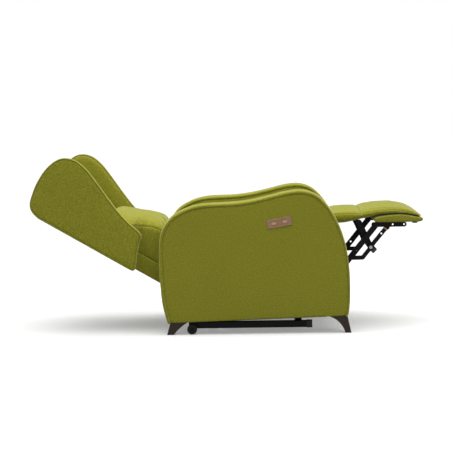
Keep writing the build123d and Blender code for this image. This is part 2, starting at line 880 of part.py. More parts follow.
with BuildPart() as calf_pad:
    for forward, inset, bottom, edge, crown, draw in calf_pad_sections:
        add(cushion_section(front_section(forward), seat_half - inset, bottom, edge, crown, draw))
    loft()
calf_pad.part.label = "calf_pad"
export_step(calf_pad.part, "parts/calf_pad.step")

# =====================================================================
# seat
# =====================================================================

seat_frame_rear = seat_rear + 25.0
seat_frame_front = seat_front - 10.0
seat_board_half = plate_outer

with BuildPart() as seat_end_boards:
    for forward in (seat_frame_rear + board_thick / 2, seat_frame_front - board_thick / 2):
        with BuildSketch(Plane.XY.offset(rail_bottom)):
            with Locations((0, -front_shift - forward)):
                Rectangle(2 * seat_board_half, board_thick)
        extrude(amount=rail_top - rail_bottom)
seat_end_boards.part.label = "seat_end_boards"
export_step(seat_end_boards.part, "parts/seat_end_boards.step")

side_run = seat_frame_front - seat_frame_rear - 2 * board_thick
seat_middle = -front_shift - (seat_frame_front + seat_frame_rear) / 2
side_board_middle = seat_board_half - side_board_width / 2

with BuildPart() as seat_side_boards:
    for middle in (-side_board_middle, side_board_middle):
        with BuildSketch(Plane.XY.offset(rail_bottom)):
            with Locations((middle, seat_middle)):
                Rectangle(side_board_width, side_run)
        extrude(amount=rail_top - rail_bottom)
seat_side_boards.part.label = "seat_side_boards"
export_step(seat_side_boards.part, "parts/seat_side_boards.step")

# elastic straps stretched over the boards
with BuildPart() as seat_webbing:
    with BuildSketch(Plane.XY.offset(rail_top)):
        with Locations((0, seat_middle)):
            with GridLocations(webbing_pitch, 1, 5, 1):
                Rectangle(webbing_width, seat_frame_front - seat_frame_rear)
    extrude(amount=webbing_thick)
seat_webbing.part.label = "seat_webbing"
export_step(seat_webbing.part, "parts/seat_webbing.step")

# sections: forward station, inset from the half width, side seam and crown below the seat's crown,
# and how far the sides are drawn in
seat_sections = (
    (seat_rear, 12.0, 46.0, 36.0, 5.0),
    (seat_rear + 35.0, 3.0, 30.0, 16.0, 8.0),
    (-120.0, 0.0, 21.0, 5.0, 9.0),
    (120.0, 0.0, 18.0, 0.0, 9.0),
    (seat_front - 45.0, 2.0, 22.0, 4.0, 8.0),
    (seat_front, 10.0, 44.0, 28.0, 5.0),
)

with BuildPart() as seat_cushion:
    for forward, inset, seam_drop, crown_drop, draw in seat_sections:
        section = front_section(forward)
        edge, crown = seat_crown - seam_drop, seat_crown - crown_drop
        add(cushion_section(section, seat_half - inset, seat_bottom, edge, crown, draw))
    loft()
seat_cushion.part.label = "seat_cushion"
export_step(seat_cushion.part, "parts/seat_cushion.step")

# =====================================================================
# back: frame, panels, cushions, brackets and drive tube
# =====================================================================

stile_rear = rear_face + panel_thick


def across_back(x_middle, width, up_low, up_high, out_low, out_high):
    """Square board of the back, given by its span across, up and out of the rear face."""
    with BuildSketch(back_section(up_high)) as section:
        with Locations((x_middle, (out_low + out_high) / 2)):
            Rectangle(width, out_high - out_low)
    extrude(section.sketch, amount=up_high - up_low)


inner_stile = frame_half - stile_width
with BuildPart() as back_stiles:
    for middle in (-frame_half + stile_width / 2, frame_half - stile_width / 2):
        across_back(middle, stile_width, back_bottom, back_top - 15, stile_rear, stile_front)
back_stiles.part.label = "back_stiles"
export_step(back_stiles.part, "parts/back_stiles.step")

with BuildPart() as back_rails:
    for low in (back_bottom, waist_rail, shoulder_rail, head_rail, back_top - top_rail_drop):
        across_back(0, 2 * inner_stile, low, low + back_rail_width, stile_rear, stile_front)
    for middle in (-(frame_half + wing_inner) / 2, (frame_half + wing_inner) / 2):
        for low in (shoulder_rail, back_top - top_rail_drop):
            width = wing_inner - frame_half
            across_back(middle, width, low, low + back_rail_width, stile_rear, stile_front)
back_rails.part.label = "back_rails"
export_step(back_rails.part, "parts/back_rails.step")

# rear panel: narrow between the arms, wide between the wings
with BuildPart() as back_panel:
    with BuildSketch(back_face(rear_face)):
        with BuildLine():
            Polyline(
                (-lower_back_half, back_bottom),
                (-lower_back_half, back_shoulder),
                (-upper_back_half, back_shoulder + 30),
                (-upper_back_half, back_top),
                (upper_back_half, back_top),
                (upper_back_half, back_shoulder + 30),
                (lower_back_half, back_shoulder),
                (lower_back_half, back_bottom),
                close=True,
            )
        make_face()
    extrude(amount=panel_thick)
back_panel.part.label = "back_panel"
export_step(back_panel.part, "parts/back_panel.step")

# padded apron on the front of the stiles, behind the seat
apron_top = tuck_bottom - apron_gap

with BuildPart() as back_apron:
    with BuildSketch(back_face(stile_front)):
        with Locations((0, (back_bottom + apron_top) / 2)):
            Rectangle(2 * frame_half, apron_top - back_bottom)
    extrude(amount=apron_thick)
back_apron.part.label = "back_apron"
export_step(back_apron.part, "parts/back_apron.step")

# sections: distance up the back, half width, side seam and crown out of the back, and the draw
lumbar_sections = (
    (lumbar_bottom, lower_back_half - 10.0, 44.0, 92.0, 4.0),
    (lumbar_bottom + 24.0, lower_back_half - 2.0, 59.0, 111.0, 8.0),
    (back_shoulder - 6.0, lower_back_half - 1.0, 42.0, 95.0, 8.0),
    (back_shoulder + 44.0, upper_back_half - 13.0, 20.0, 77.0, 8.0),
    (415.0, upper_back_half - 4.0, 4.0, 58.0, 8.0),
    (cushion_split - 3.0, upper_back_half - 9.0, -18.0, 34.0, 5.0),
)
head_sections = (
    (cushion_split, upper_back_half - 9.0, -20.0, 31.0, 5.0),
    (500.0, upper_back_half - 3.0, 0.0, 42.0, 8.0),
    (600.0, upper_back_half - 2.0, 0.0, 34.0, 8.0),
    (700.0, upper_back_half - 3.0, -8.0, 26.0, 8.0),
    (770.0, upper_back_half - 6.0, -34.0, -4.0, 7.0),
    (800.0, upper_back_half - 13.0, -66.0, -48.0, 4.0),
)

tuck_half = lower_back_half - 10.0
tuck_profile = (
    (tuck_bottom, stile_front),
    (tuck_bottom, stile_front + 6.0),
    (lumbar_bottom - 35.0, -18.0),
    (lumbar_bottom - 23.0, -6.0),
    (lumbar_bottom - 11.0, 32.0),
    (lumbar_bottom - 2.0, 88.0),
    (lumbar_bottom + 4.0, 88.0),
    (lumbar_bottom + 4.0, stile_front),
)

with BuildPart() as lumbar_cushion:
    for up, half, edge, crown, draw in lumbar_sections:
        add(cushion_section(back_section(up), half, stile_front, edge, crown, draw))
    loft()
    # the tuck that closes the back down to the seat
    with BuildSketch(back_plane(-tuck_half)):
        with BuildLine():
            Polyline(*tuck_profile, close=True)
        make_face()
    extrude(amount=2 * tuck_half)
lumbar_cushion.part.label = "lumbar_cushion"
export_step(lumbar_cushion.part, "parts/lumbar_cushion.step")

with BuildPart() as head_cushion:
    for up, half, edge, crown, draw in head_sections:
        add(cushion_section(back_section(up), half, stile_front, edge, crown, draw))
    loft()
head_cushion.part.label = "head_cushion"
export_step(head_cushion.part, "parts/head_cushion.step")

# steel brackets with the hinge pins, and the tube that the drive pushes on
with BuildPart() as back_brackets:
    for side in ("right", "left"):
        with BuildSketch(slab_plane(side, frame_half, frame_half + steel)):
            disc(back_pivot, 18)
            disc(back_point(*drive_place), 20)
            for up in (20, 170):
                for out in (stile_rear + 6, stile_front - 6):
                    disc(back_point(up, out), 4)
            make_hull()
        extrude(amount=steel)
        with BuildSketch(slab_plane(side, frame_half + steel, plate_outer + 2)):
            disc(back_pivot, hinge_radius)
        extrude(amount=plate_outer + 2 - frame_half - steel)
back_brackets.part.label = "back_brackets"
export_step(back_brackets.part, "parts/back_brackets.step")

with BuildPart() as back_drive_tube:
    with BuildSketch(side_plane(frame_half)):
        disc(back_point(*drive_place), drive_radius)
    extrude(amount=2 * frame_half)
back_drive_tube.part.label = "back_drive_tube"
export_step(back_drive_tube.part, "parts/back_drive_tube.step")

# =====================================================================
# wings
# =====================================================================

wing_outline = [
    (247, rear_face),
    (276, -75),
    (293, -27),
    (299, 6),
    (325, 20),
    (375, 30),
    (440, 51),
    (520, 86),
    (597, 122),
    (665, 149),
    (728, 156),
    (782, 130),
    (812, 70),
    (wing_top, 0),
    (815, -60),
    (802, -112),
    (775, -139),
    (737, rear_face),
]


def wing_face(swell):
    """Wing profile in the back's own frame, swollen or shrunk evenly; the rear edge is straight."""
    points = moved_out(wing_outline, swell)
    with BuildLine() as outline:
        Spline(*points)
        Line(points[-1], points[0])
    make_face(outline.edges())
    with Locations((wing_outline[0][0], rear_face - 50)):
        Rectangle(2 * wing_top, 100 - 2 * swell, mode=Mode.SUBTRACT)


wing_pad = (wing_outer - wing_inner - wing_ply) / 2

for side in ("right", "left"):
    outward = -1 if side == "right" else 1
    for name, low, thick, swell in (
        ("wing_inner_pad", wing_inner, wing_pad, 0),
        ("wing_frame", wing_inner + wing_pad, wing_ply, -wing_core_inset),
        ("wing_outer_pad", wing_outer - wing_pad, wing_pad, 0),
    ):
        with BuildPart() as wing_piece:
            with BuildSketch(back_plane(outward * low)):
                wing_face(swell)
            extrude(amount=outward * thick)
            if swell == 0:
                faces = wing_piece.faces().sort_by(Axis.X)
                proud = faces[0] if (outward < 0) == (low > wing_inner) else faces[-1]
                fillet(proud.edges(), wing_round)
        wing_piece.part.label = f"{name}_{side}"
        export_step(wing_piece.part, f"parts/{name}_{side}.step")

# =====================================================================
# drive: motor, gearbox and sleeve on the base, and the rod that pushes the back
# =====================================================================

drive_at = back_point(*drive_place)
yoke_inner = drive_radius + yoke_gap
yoke_outer = yoke_inner + yoke_wall

with BuildPart() as drive_rod:
    with BuildSketch(side_plane(rod_radius)):
        with Locations((drive_at[0], drive_height)):
            RectangleRounded(2 * yoke_outer, 2 * yoke_outer + drive_throw + 1, 6)
            SlotOverall(2 * yoke_inner + drive_throw + 1, 2 * yoke_inner, rotation=90, mode=Mode.SUBTRACT)
    extrude(amount=2 * rod_radius)
    with BuildSketch(front_section(drive_at[0] + yoke_outer)):
        with Locations((0, drive_height)):
            Circle(rod_radius)
    extrude(amount=rod_reach - yoke_outer)
drive_rod.part.label = "drive_rod"
export_step(drive_rod.part, "parts/drive_rod.step")

with BuildPart() as drive_sleeve:
    with BuildSketch(front_section(sleeve_rear)):
        with Locations((0, drive_height)):
            Circle(sleeve_radius)
            Circle(rod_radius + running_gap, mode=Mode.SUBTRACT)
    extrude(amount=gearbox_rear - sleeve_rear)
drive_sleeve.part.label = "drive_sleeve"
export_step(drive_sleeve.part, "parts/drive_sleeve.step")

gearbox_middle = ((gearbox_rear + gearbox_front) / 2, (gearbox_bottom + gearbox_top) / 2)

# motor with its gearbox
with BuildPart() as drive_motor:
    with BuildSketch(side_plane(gearbox_half)):
        with Locations(gearbox_middle):
            RectangleRounded(gearbox_front - gearbox_rear, gearbox_top - gearbox_bottom, 8)
    extrude(amount=2 * gearbox_half)
    with BuildSketch(side_plane(gearbox_half + motor_length)):
        disc(gearbox_middle, motor_radius)
    extrude(amount=motor_length)
    chamfer(drive_motor.faces().sort_by(Axis.X)[-1].edges(), 3)
drive_motor.part.label = "drive_motor"
export_step(drive_motor.part, "parts/drive_motor.step")

with BuildPart() as motor_post:
    with BuildSketch(Plane.XY.offset(base_bottom + tube)):
        with Locations((0, -front_shift - cross_stations[1])):
            RectangleRounded(40, 24, 2)
            Rectangle(40 - 2 * tube_wall, 24 - 2 * tube_wall, mode=Mode.SUBTRACT)
    extrude(amount=gearbox_bottom - base_bottom - tube)
motor_post.part.label = "motor_post"
export_step(motor_post.part, "parts/motor_post.step")

inlet_depth = 18.0
inlet_recess = 10.0
inlet_across = 78.0
inlet_rear = cross_stations[0] - tube / 2 - inlet_depth

with BuildPart() as power_inlet:
    with BuildSketch(front_section(inlet_rear)):
        with Locations((inlet_across, rail_height)):
            RectangleRounded(36, 24, 3)
    extrude(amount=inlet_depth)
    with BuildSketch(front_section(inlet_rear)):
        with Locations((inlet_across, rail_height)):
            Rectangle(22, 11)
    extrude(amount=inlet_recess, mode=Mode.SUBTRACT)
power_inlet.part.label = "power_inlet"
export_step(power_inlet.part, "parts/power_inlet.step")
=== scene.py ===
import math

import bmesh
import bpy
from mathutils import Matrix, Vector, noise
from mathutils.bvhtree import BVHTree
from mathutils.kdtree import KDTree


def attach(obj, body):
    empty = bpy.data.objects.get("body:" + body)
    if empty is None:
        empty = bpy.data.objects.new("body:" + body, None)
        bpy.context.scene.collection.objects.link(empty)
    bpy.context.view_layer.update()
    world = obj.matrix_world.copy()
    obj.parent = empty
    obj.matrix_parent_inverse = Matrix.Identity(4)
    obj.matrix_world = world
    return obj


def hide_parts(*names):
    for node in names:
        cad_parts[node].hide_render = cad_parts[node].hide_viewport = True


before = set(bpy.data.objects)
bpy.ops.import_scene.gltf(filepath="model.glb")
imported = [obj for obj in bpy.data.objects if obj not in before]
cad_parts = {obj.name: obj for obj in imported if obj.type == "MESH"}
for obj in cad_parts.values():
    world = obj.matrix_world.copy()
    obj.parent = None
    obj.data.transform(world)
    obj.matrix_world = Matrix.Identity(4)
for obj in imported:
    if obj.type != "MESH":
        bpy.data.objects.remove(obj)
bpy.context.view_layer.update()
print("frame loaded:", len(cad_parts), "nodes")

sides = {"right": -1, "left": 1}  # the sitter's right is at -X

# Places are drawn in millimetres, as (forward of the seat station, height), or in the back's
# own axes, as (distance up the back from its hinge, distance out of it).
axes = {
    "frontShift": 160.2,
    "backAngle": math.radians(30.2),
    "backPivot": (-290.0, 285.0),
}


def sidePoint(x, forward, up):
    return Vector((x, -(forward + axes["frontShift"]), up)) / 1000


def backPoint(x, along, out):
    slope = axes["backAngle"]
    forward = axes["backPivot"][0] - along * math.cos(slope) + out * math.sin(slope)
    up = axes["backPivot"][1] + along * math.sin(slope) + out * math.cos(slope)
    return sidePoint(x, forward, up)


# nodes and colours


def linearColour(hexText):
    channels = [int(hexText[i : i + 2], 16) / 255 for i in (1, 3, 5)]
    return [c / 12.92 if c <= 0.04045 else ((c + 0.055) / 1.055) ** 2.4 for c in channels] + [1.0]


def addNode(tree, kind, settings=None, links=None):
    # settings fill sockets or properties by name, links join a socket to an output
    node = tree.nodes.new(kind)
    for key, value in (settings or {}).items():
        if key in node.inputs:
            node.inputs[key].default_value = value
        else:
            setattr(node, key, value)
    for key, output in (links or {}).items():
        tree.links.new(node.inputs[key], output)
    return node


def largerOf(tree, first, second):
    node = addNode(tree, "ShaderNodeMath", {"operation": "MAXIMUM"})
    tree.links.new(node.inputs[0], first)
    tree.links.new(node.inputs[1], second)
    return node.outputs[0]


def newMaterial(name):
    material = bpy.data.materials.new(name)
    material.use_nodes = True
    tree = material.node_tree
    tree.nodes.clear()
    shader = addNode(tree, "ShaderNodeBsdfPrincipled")
    output = addNode(tree, "ShaderNodeOutputMaterial")
    tree.links.new(output.inputs["Surface"], shader.outputs["BSDF"])
    return material, tree, shader


def perMetre(millimetres):
    # texture scale that gives features of this size
    return 1000.0 / millimetres


def stretchedCoords(tree, stretch):
    coords = addNode(tree, "ShaderNodeTexCoord")
    mapping = addNode(tree, "ShaderNodeMapping", {"Scale": stretch}, {"Vector": coords.outputs["Object"]})
    return mapping.outputs["Vector"]


def noiseAt(tree, vector, sizeMm, detail=2.0, rough=0.5):
    settings = {"Scale": perMetre(sizeMm), "Detail": detail, "Roughness": rough}
    return addNode(tree, "ShaderNodeTexNoise", settings, {"Vector": vector}).outputs["Fac"]


def ramp(tree, factor, stops):
    node = addNode(tree, "ShaderNodeValToRGB", links={"Fac": factor})
    elements = node.color_ramp.elements
    while len(elements) < len(stops):
        elements.new(0.5)
    for element, (position, colour) in zip(elements, stops):
        element.position = position
        element.color = linearColour(colour) if isinstance(colour, str) else (colour, colour, colour, 1.0)
    return node.outputs["Color"]


def mixColour(tree, factor, first, second, how="MIX"):
    node = addNode(tree, "ShaderNodeMix", {"data_type": "RGBA", "blend_type": how})
    sockets = {"Factor": node.inputs[0], "A": node.inputs[6], "B": node.inputs[7]}
    for key, value in (("Factor", factor), ("A", first), ("B", second)):
        if isinstance(value, bpy.types.NodeSocket):
            tree.links.new(sockets[key], value)
        else:
            sockets[key].default_value = value
    return node.outputs[2]


def addBump(tree, shader, height, strength, distanceMm, normal=None):
    settings = {"Strength": strength, "Distance": distanceMm / 1000}
    links = {"Height": height}
    if normal is not None:
        links["Normal"] = normal
    bump = addNode(tree, "ShaderNodeBump", settings, links)
    tree.links.new(shader.inputs["Normal"], bump.outputs["Normal"])
    return bump.outputs["Normal"]


# materials

woolFelt = {
    "dark": "#6d6c14",
    "mid": "#868524",
    "light": "#a09f3a",
    "fleckMm": 3.4,  # fibres are finer; drawn coarser so that the melange shows
    "cloudMm": 12.0,
    "broadMm": 230.0,
    "ribMm": 2.6,  # yarn spacing, drawn coarser than the real 1 mm
    "roughness": 0.94,
}


def makeWoolFelt():
    # milled wool melange, woven then felted: dull, with mixed fibres and a pale bloom at grazing light
    material, tree, shader = newMaterial("milledWoolMelange")
    upright = stretchedCoords(tree, (1.0, 1.0, 0.7))
    plain = stretchedCoords(tree, (1.0, 1.0, 1.0))
    fleck = noiseAt(tree, upright, woolFelt["fleckMm"], 2.0, 0.55)
    cloud = noiseAt(tree, upright, woolFelt["cloudMm"], 2.0)
    broad = noiseAt(tree, plain, woolFelt["broadMm"], 1.0)
    melange = ramp(
        tree, fleck, [(0.3, woolFelt["dark"]), (0.5, woolFelt["mid"]), (0.72, woolFelt["light"])]
    )
    clouded = mixColour(tree, 0.2, melange, ramp(tree, cloud, [(0.3, 0.8), (0.7, 1.0)]), "MULTIPLY")
    toned = mixColour(tree, 0.35, clouded, ramp(tree, broad, [(0.3, 0.86), (0.7, 1.0)]), "MULTIPLY")
    tree.links.new(shader.inputs["Base Color"], toned)
    shader.inputs["Roughness"].default_value = woolFelt["roughness"]
    shader.inputs["IOR"].default_value = 1.45
    shader.inputs["Specular IOR Level"].default_value = 0.2
    shader.inputs["Sheen Weight"].default_value = 0.7
    shader.inputs["Sheen Roughness"].default_value = 0.4
    shader.inputs["Sheen Tint"].default_value = linearColour("#e4e5a6")
    waves = []
    for direction in ("X", "Z"):
        settings = {"bands_direction": direction, "Scale": perMetre(woolFelt["ribMm"]) / 2, "Distortion": 2.5}
        wave = addNode(tree, "ShaderNodeTexWave", settings, {"Vector": plain})
        wave.inputs["Detail"].default_value = 1.0
        waves.append(wave.outputs["Fac"])
    fine = addBump(tree, shader, largerOf(tree, *waves), 0.15, 0.4)
    addBump(tree, shader, fleck, 0.2, 0.6, fine)
    return material


def makeSewingThread():
    # spun polyester thread, coloured darker than the cloth: partly its own tone, partly painted shade of the stitch
    # pits
    material, tree, shader = newMaterial("spunPolyesterThread")
    ply = noiseAt(tree, stretchedCoords(tree, (1, 1, 1)), 1.2)
    # both thread tones are kept dark as painted shade of the pits where the stitches go into the cloth
    tree.links.new(shader.inputs["Base Color"], ramp(tree, ply, [(0.3, "#54551a"), (0.7, "#737425")]))
    shader.inputs["Roughness"].default_value = 0.6
    return material


blackCoat = {"colour": "#050404", "worn": "#0a0908", "peelMm": 1.4, "roughness": 0.5}


def makeBlackCoat():
    # steel under sprayed and baked powder: black, half matt, with a faint orange peel
    material, tree, shader = newMaterial("powderCoatedSteel")
    plain = stretchedCoords(tree, (1, 1, 1))
    rub = noiseAt(tree, plain, 30.0, 3.0)
    colour = ramp(tree, rub, [(0.35, blackCoat["colour"]), (0.8, blackCoat["worn"])])
    tree.links.new(shader.inputs["Base Color"], colour)
    rough = ramp(tree, rub, [(0.3, blackCoat["roughness"] - 0.06), (0.7, blackCoat["roughness"] + 0.08)])
    tree.links.new(shader.inputs["Roughness"], rough)
    shader.inputs["Specular IOR Level"].default_value = 0.1
    addBump(tree, shader, noiseAt(tree, plain, blackCoat["peelMm"], 1.0), 0.12, 0.2)
    return material


def makeZincSteel():
    # bright zinc on turned steel: pale grey, satin, with fine turning marks
    material, tree, shader = newMaterial("zincPlatedSteel")
    turning = noiseAt(tree, stretchedCoords(tree, (1, 1, 12)), 1.5, 2.0)
    tree.links.new(shader.inputs["Base Color"], ramp(tree, turning, [(0.3, "#77787a"), (0.7, "#96979a")]))
    shader.inputs["Metallic"].default_value = 1.0
    tree.links.new(shader.inputs["Roughness"], ramp(tree, turning, [(0.3, 0.28), (0.7, 0.42)]))
    return material


def makeRoseAluminium(name, dark, light, roughness):
    # brushed and rose anodised aluminium: fine lines along the plate, satin
    material, tree, shader = newMaterial(name)
    lines = noiseAt(tree, stretchedCoords(tree, (1.0, 0.04, 1.0)), 0.9, 3.0, 0.7)
    cloud = noiseAt(tree, stretchedCoords(tree, (1, 1, 1)), 18.0, 2.0)
    brushed = ramp(tree, lines, [(0.3, dark), (0.7, light)])
    colour = mixColour(tree, 0.3, brushed, ramp(tree, cloud, [(0.3, 0.75), (0.7, 1.0)]), "MULTIPLY")
    tree.links.new(shader.inputs["Base Color"], colour)
    shader.inputs["Metallic"].default_value = 0.85
    tree.links.new(shader.inputs["Roughness"], ramp(tree, lines, [(0.3, roughness - 0.06), (0.7, roughness + 0.1)]))
    addBump(tree, shader, lines, 0.08, 0.1)
    return material


def makeStainedBeech():
    # beech sawn to its curve and stained, satin lacquer: almost black brown, with fine pores along the grain
    material, tree, shader = newMaterial("stainedBeech")
    grain = noiseAt(tree, stretchedCoords(tree, (1.0, 1.0, 0.08)), 3.0, 4.0, 0.6)
    figure = noiseAt(tree, stretchedCoords(tree, (1.0, 1.0, 0.25)), 22.0, 2.0)
    fine = ramp(tree, grain, [(0.3, "#180e0a"), (0.55, "#27170f"), (0.8, "#36221a")])
    colour = mixColour(tree, 0.5, fine, ramp(tree, figure, [(0.3, 0.7), (0.7, 1.0)]), "MULTIPLY")
    tree.links.new(shader.inputs["Base Color"], colour)
    shader.inputs["Roughness"].default_value = 0.38
    shader.inputs["Specular IOR Level"].default_value = 0.25
    addBump(tree, shader, grain, 0.12, 0.3)
    return material


def makeMouldedPlastic(name, colour, roughness, grainMm=1.2):
    # moulded thermoplastic with a fine spark-eroded grain
    material, tree, shader = newMaterial(name)
    plain = stretchedCoords(tree, (1, 1, 1))
    grain = noiseAt(tree, plain, grainMm, 2.0)
    shade = mixColour(tree, 0.25, linearColour(colour), ramp(tree, grain, [(0.3, 0.6), (0.7, 1.0)]), "MULTIPLY")
    tree.links.new(shader.inputs["Base Color"], shade)
    shader.inputs["Roughness"].default_value = roughness
    shader.inputs["Specular IOR Level"].default_value = 0.2
    addBump(tree, shader, grain, 0.15, 0.15)
    return material


def makeSawnWood(name, dark, light, layerMm=None):
    # planed softwood, or birch plywood whose layers show on cut edges
    material, tree, shader = newMaterial(name)
    grain = noiseAt(tree, stretchedCoords(tree, (1.0, 0.12, 1.0)), 4.0, 4.0, 0.6)
    colour = ramp(tree, grain, [(0.3, dark), (0.7, light)])
    if layerMm:
        settings = {"bands_direction": "X", "Scale": perMetre(layerMm) / 2}
        plies = addNode(tree, "ShaderNodeTexWave", settings, {"Vector": stretchedCoords(tree, (1, 1, 1))})
        colour = mixColour(tree, 0.3, colour, ramp(tree, plies.outputs["Fac"], [(0.3, 0.6), (0.7, 1.0)]), "MULTIPLY")
    tree.links.new(shader.inputs["Base Color"], colour)
    shader.inputs["Roughness"].default_value = 0.7
    addBump(tree, shader, grain, 0.15, 0.3)
    return material


def makeWovenTape(name, dark, light, yarnMm):
    # woven elastic tape or spun-bonded dust cover: dull, with a close regular texture
    material, tree, shader = newMaterial(name)
    settings = {"Scale": perMetre(yarnMm)}
    checks = addNode(tree, "ShaderNodeTexChecker", settings, {"Vector": stretchedCoords(tree, (1, 1, 1))})
    fuzz = noiseAt(tree, stretchedCoords(tree, (1, 1, 1)), yarnMm * 3, 2.0)
    mixed = mixColour(tree, checks.outputs["Fac"], linearColour(dark), linearColour(light))
    shade = mixColour(tree, 0.4, mixed, ramp(tree, fuzz, [(0.3, 0.7), (0.7, 1.0)]), "MULTIPLY")
    tree.links.new(shader.inputs["Base Color"], shade)
    shader.inputs["Roughness"].default_value = 0.9
    addBump(tree, shader, fuzz, 0.3, 0.5)
    return material


felt = makeWoolFelt()
thread = makeSewingThread()
coatedSteel = makeBlackCoat()
zincSteel = makeZincSteel()
roseMetal = makeRoseAluminium("roseAnodisedAluminium", "#6d5541", "#8d7057", 0.42)
roseEdge = makeRoseAluminium("paleAnodisedAluminium", "#8b6d56", "#ad8e75", 0.4)
darkWood = makeStainedBeech()
blackAbs = makeMouldedPlastic("mouldedBlackAbs", "#151513", 0.5)
greyCap = makeMouldedPlastic("mouldedGreyPolyethylene", "#3b3935", 0.42)
tanNylon = makeMouldedPlastic("naturalNylon", "#b08c6c", 0.5)
rubberTread = makeMouldedPlastic("mouldedRubber", "#0d0d0c", 0.75, 2.0)
softwood = makeSawnWood("planedSpruce", "#b98e5c", "#d6b07c")
plywood = makeSawnWood("birchPlywood", "#b3895b", "#d2ab7a", 3.0)
elasticTape = makeWovenTape("elasticWebbing", "#2a231b", "#6d5f4b", 2.2)
dustCloth = makeWovenTape("spunBondedDustCover", "#121212", "#1f1f1f", 1.6)
print("materials made")


# mesh helpers


def addPiece(name, verts, faces, material, body):
    mesh = bpy.data.meshes.new(name)
    mesh.from_pydata([tuple(v) for v in verts], [], faces)
    build = bmesh.new()
    build.from_mesh(mesh)
    bmesh.ops.recalc_face_normals(build, faces=build.faces)
    build.to_mesh(mesh)
    build.free()
    mesh.materials.append(material)
    piece = bpy.data.objects.new(name, mesh)
    bpy.context.scene.collection.objects.link(piece)
    mesh.shade_smooth()
    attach(piece, body)
    return piece


def ringMesh(rings, closedLoop):
    # quads between rings; an open run is closed by a face at each end
    verts = [v for ring in rings for v in ring]
    size = len(rings[0])
    spans = len(rings) if closedLoop else len(rings) - 1
    faces = []
    for i in range(spans):
        a, b = i * size, ((i + 1) % len(rings)) * size
        for k in range(size):
            n = (k + 1) % size
            faces.append((a + k, a + n, b + n, b + k))
    if not closedLoop:
        faces.append(tuple(range(size)))
        faces.append(tuple(range((len(rings) - 1) * size, len(rings) * size)))
    return verts, faces


def curveThrough(points, step, closed=False):
    # smooth line through the points, sampled at an even spacing in millimetres
    count = len(points)
    dense = []
    for i in range(count if closed else count - 1):
        if closed:
            p0, p1, p2, p3 = (Vector(points[(i + k - 1) % count]) for k in range(4))
        else:
            p0, p1, p2, p3 = (Vector(points[min(max(i + k - 1, 0), count - 1)]) for k in range(4))
        for k in range(16):
            t = k / 16
            dense.append(
                0.5
                * (
                    2 * p1
                    + (p2 - p0) * t
                    + (2 * p0 - 5 * p1 + 4 * p2 - p3) * t * t
                    + (3 * p1 - p0 - 3 * p2 + p3) * t * t * t
                )
            )
    dense.append(Vector(points[0] if closed else points[-1]))
    lengths = [0.0]
    for a, b in zip(dense, dense[1:]):
        lengths.append(lengths[-1] + (b - a).length)
    total = max(2, round(lengths[-1] / step))
    line, at = [], 0
    for k in range(total if closed else total + 1):
        want = lengths[-1] * k / total
        while at < len(lengths) - 2 and lengths[at + 1] < want:
            at += 1
        share = (want - lengths[at]) / max(lengths[at + 1] - lengths[at], 1e-9)
        line.append(dense[at].lerp(dense[at + 1], min(max(share, 0.0), 1.0)))
    return line


def outwardNormals(line, closed):
    # the outlines run with the shape on their right
    normals = []
    count = len(line)
    for i in range(count):
        before = line[(i - 1) % count] if closed else line[max(i - 1, 0)]
        after = line[(i + 1) % count] if closed else line[min(i + 1, count - 1)]
        along = (after - before).normalized()
        normals.append(Vector((-along.y, along.x)))
    return normals


def waver(point, sizeMm, seed):
    return noise.noise(Vector((point[0] / sizeMm + seed * 7.3, point[1] / sizeMm - seed * 3.1, seed * 1.7)))


def bodyPlace(side, frameName):
    # turns (distance from the middle, (a, b)) into a point on one side of the chair
    point = backPoint if frameName == "back" else sidePoint
    return lambda level, spot: point(side * level, spot[0], spot[1])


def softened(outline, passes):
    # rounds the corners of a closed outline
    for _ in range(passes):
        ring = list(zip(outline[-1:] + outline[:-1], outline, outline[1:] + outline[:1]))
        outline = [p * 0.5 + (before + after) * 0.25 for before, p, after in ring]
    return outline


def ontoSpine(spot, spine):
    a, b = Vector(spine[0]), Vector(spine[1])
    share = (spot - a).dot(b - a) / (b - a).length_squared
    return a.lerp(b, min(max(share, 0.0), 1.0))


def crownedPanel(name, outline, place, rim, middle, backLevel, seed, body, spine):
    # padded cover panel: the rim rings follow the seam, the others close in on a line in the middle
    outline = softened(outline, 4)
    normals = outwardNormals(outline, True)
    rings = [[place(backLevel, p - n * 3) for p, n in zip(outline, normals)]]
    for inset, level in rim:
        rings.append([place(level, p - n * inset) for p, n in zip(outline, normals)])
    start = rim[-1][1]
    last = [p - n * rim[-1][0] for p, n in zip(outline, normals)]
    for step in range(1, 11):
        share = 1 - 0.84 * (step / 10) ** 0.9
        level = start + (middle - start) * math.sin(math.pi / 2 * min(1.0, step / 5))
        ring = []
        for p in last:
            spot = ontoSpine(p, spine).lerp(p, share)
            ring.append(place(level + waver(spot, 95.0, seed) * 0.5 * (1 - share * 0.5), spot))
        rings.append(ring)
    verts, faces = ringMesh(rings, False)
    return addPiece(name, verts, faces, felt, body)


def sweptBand(name, line, profile, swell, place, closed, seed, body):
    # boxing band: the profile is (distance from the middle, distance outside the seam)
    normals = outwardNormals(line, closed)
    rings = []
    for i, (p, n) in enumerate(zip(line, normals)):
        full = swell(i / len(line))
        ring = []
        for level, offset in profile:
            out = offset * full if offset > 0 else offset
            if offset > 8:
                out += waver(p + Vector((level, 0)), 70.0, seed) * 1.0
            ring.append(place(level, p + n * out))
        rings.append(ring)
    verts, faces = ringMesh(rings, closed)
    return addPiece(name, verts, faces, felt, body)


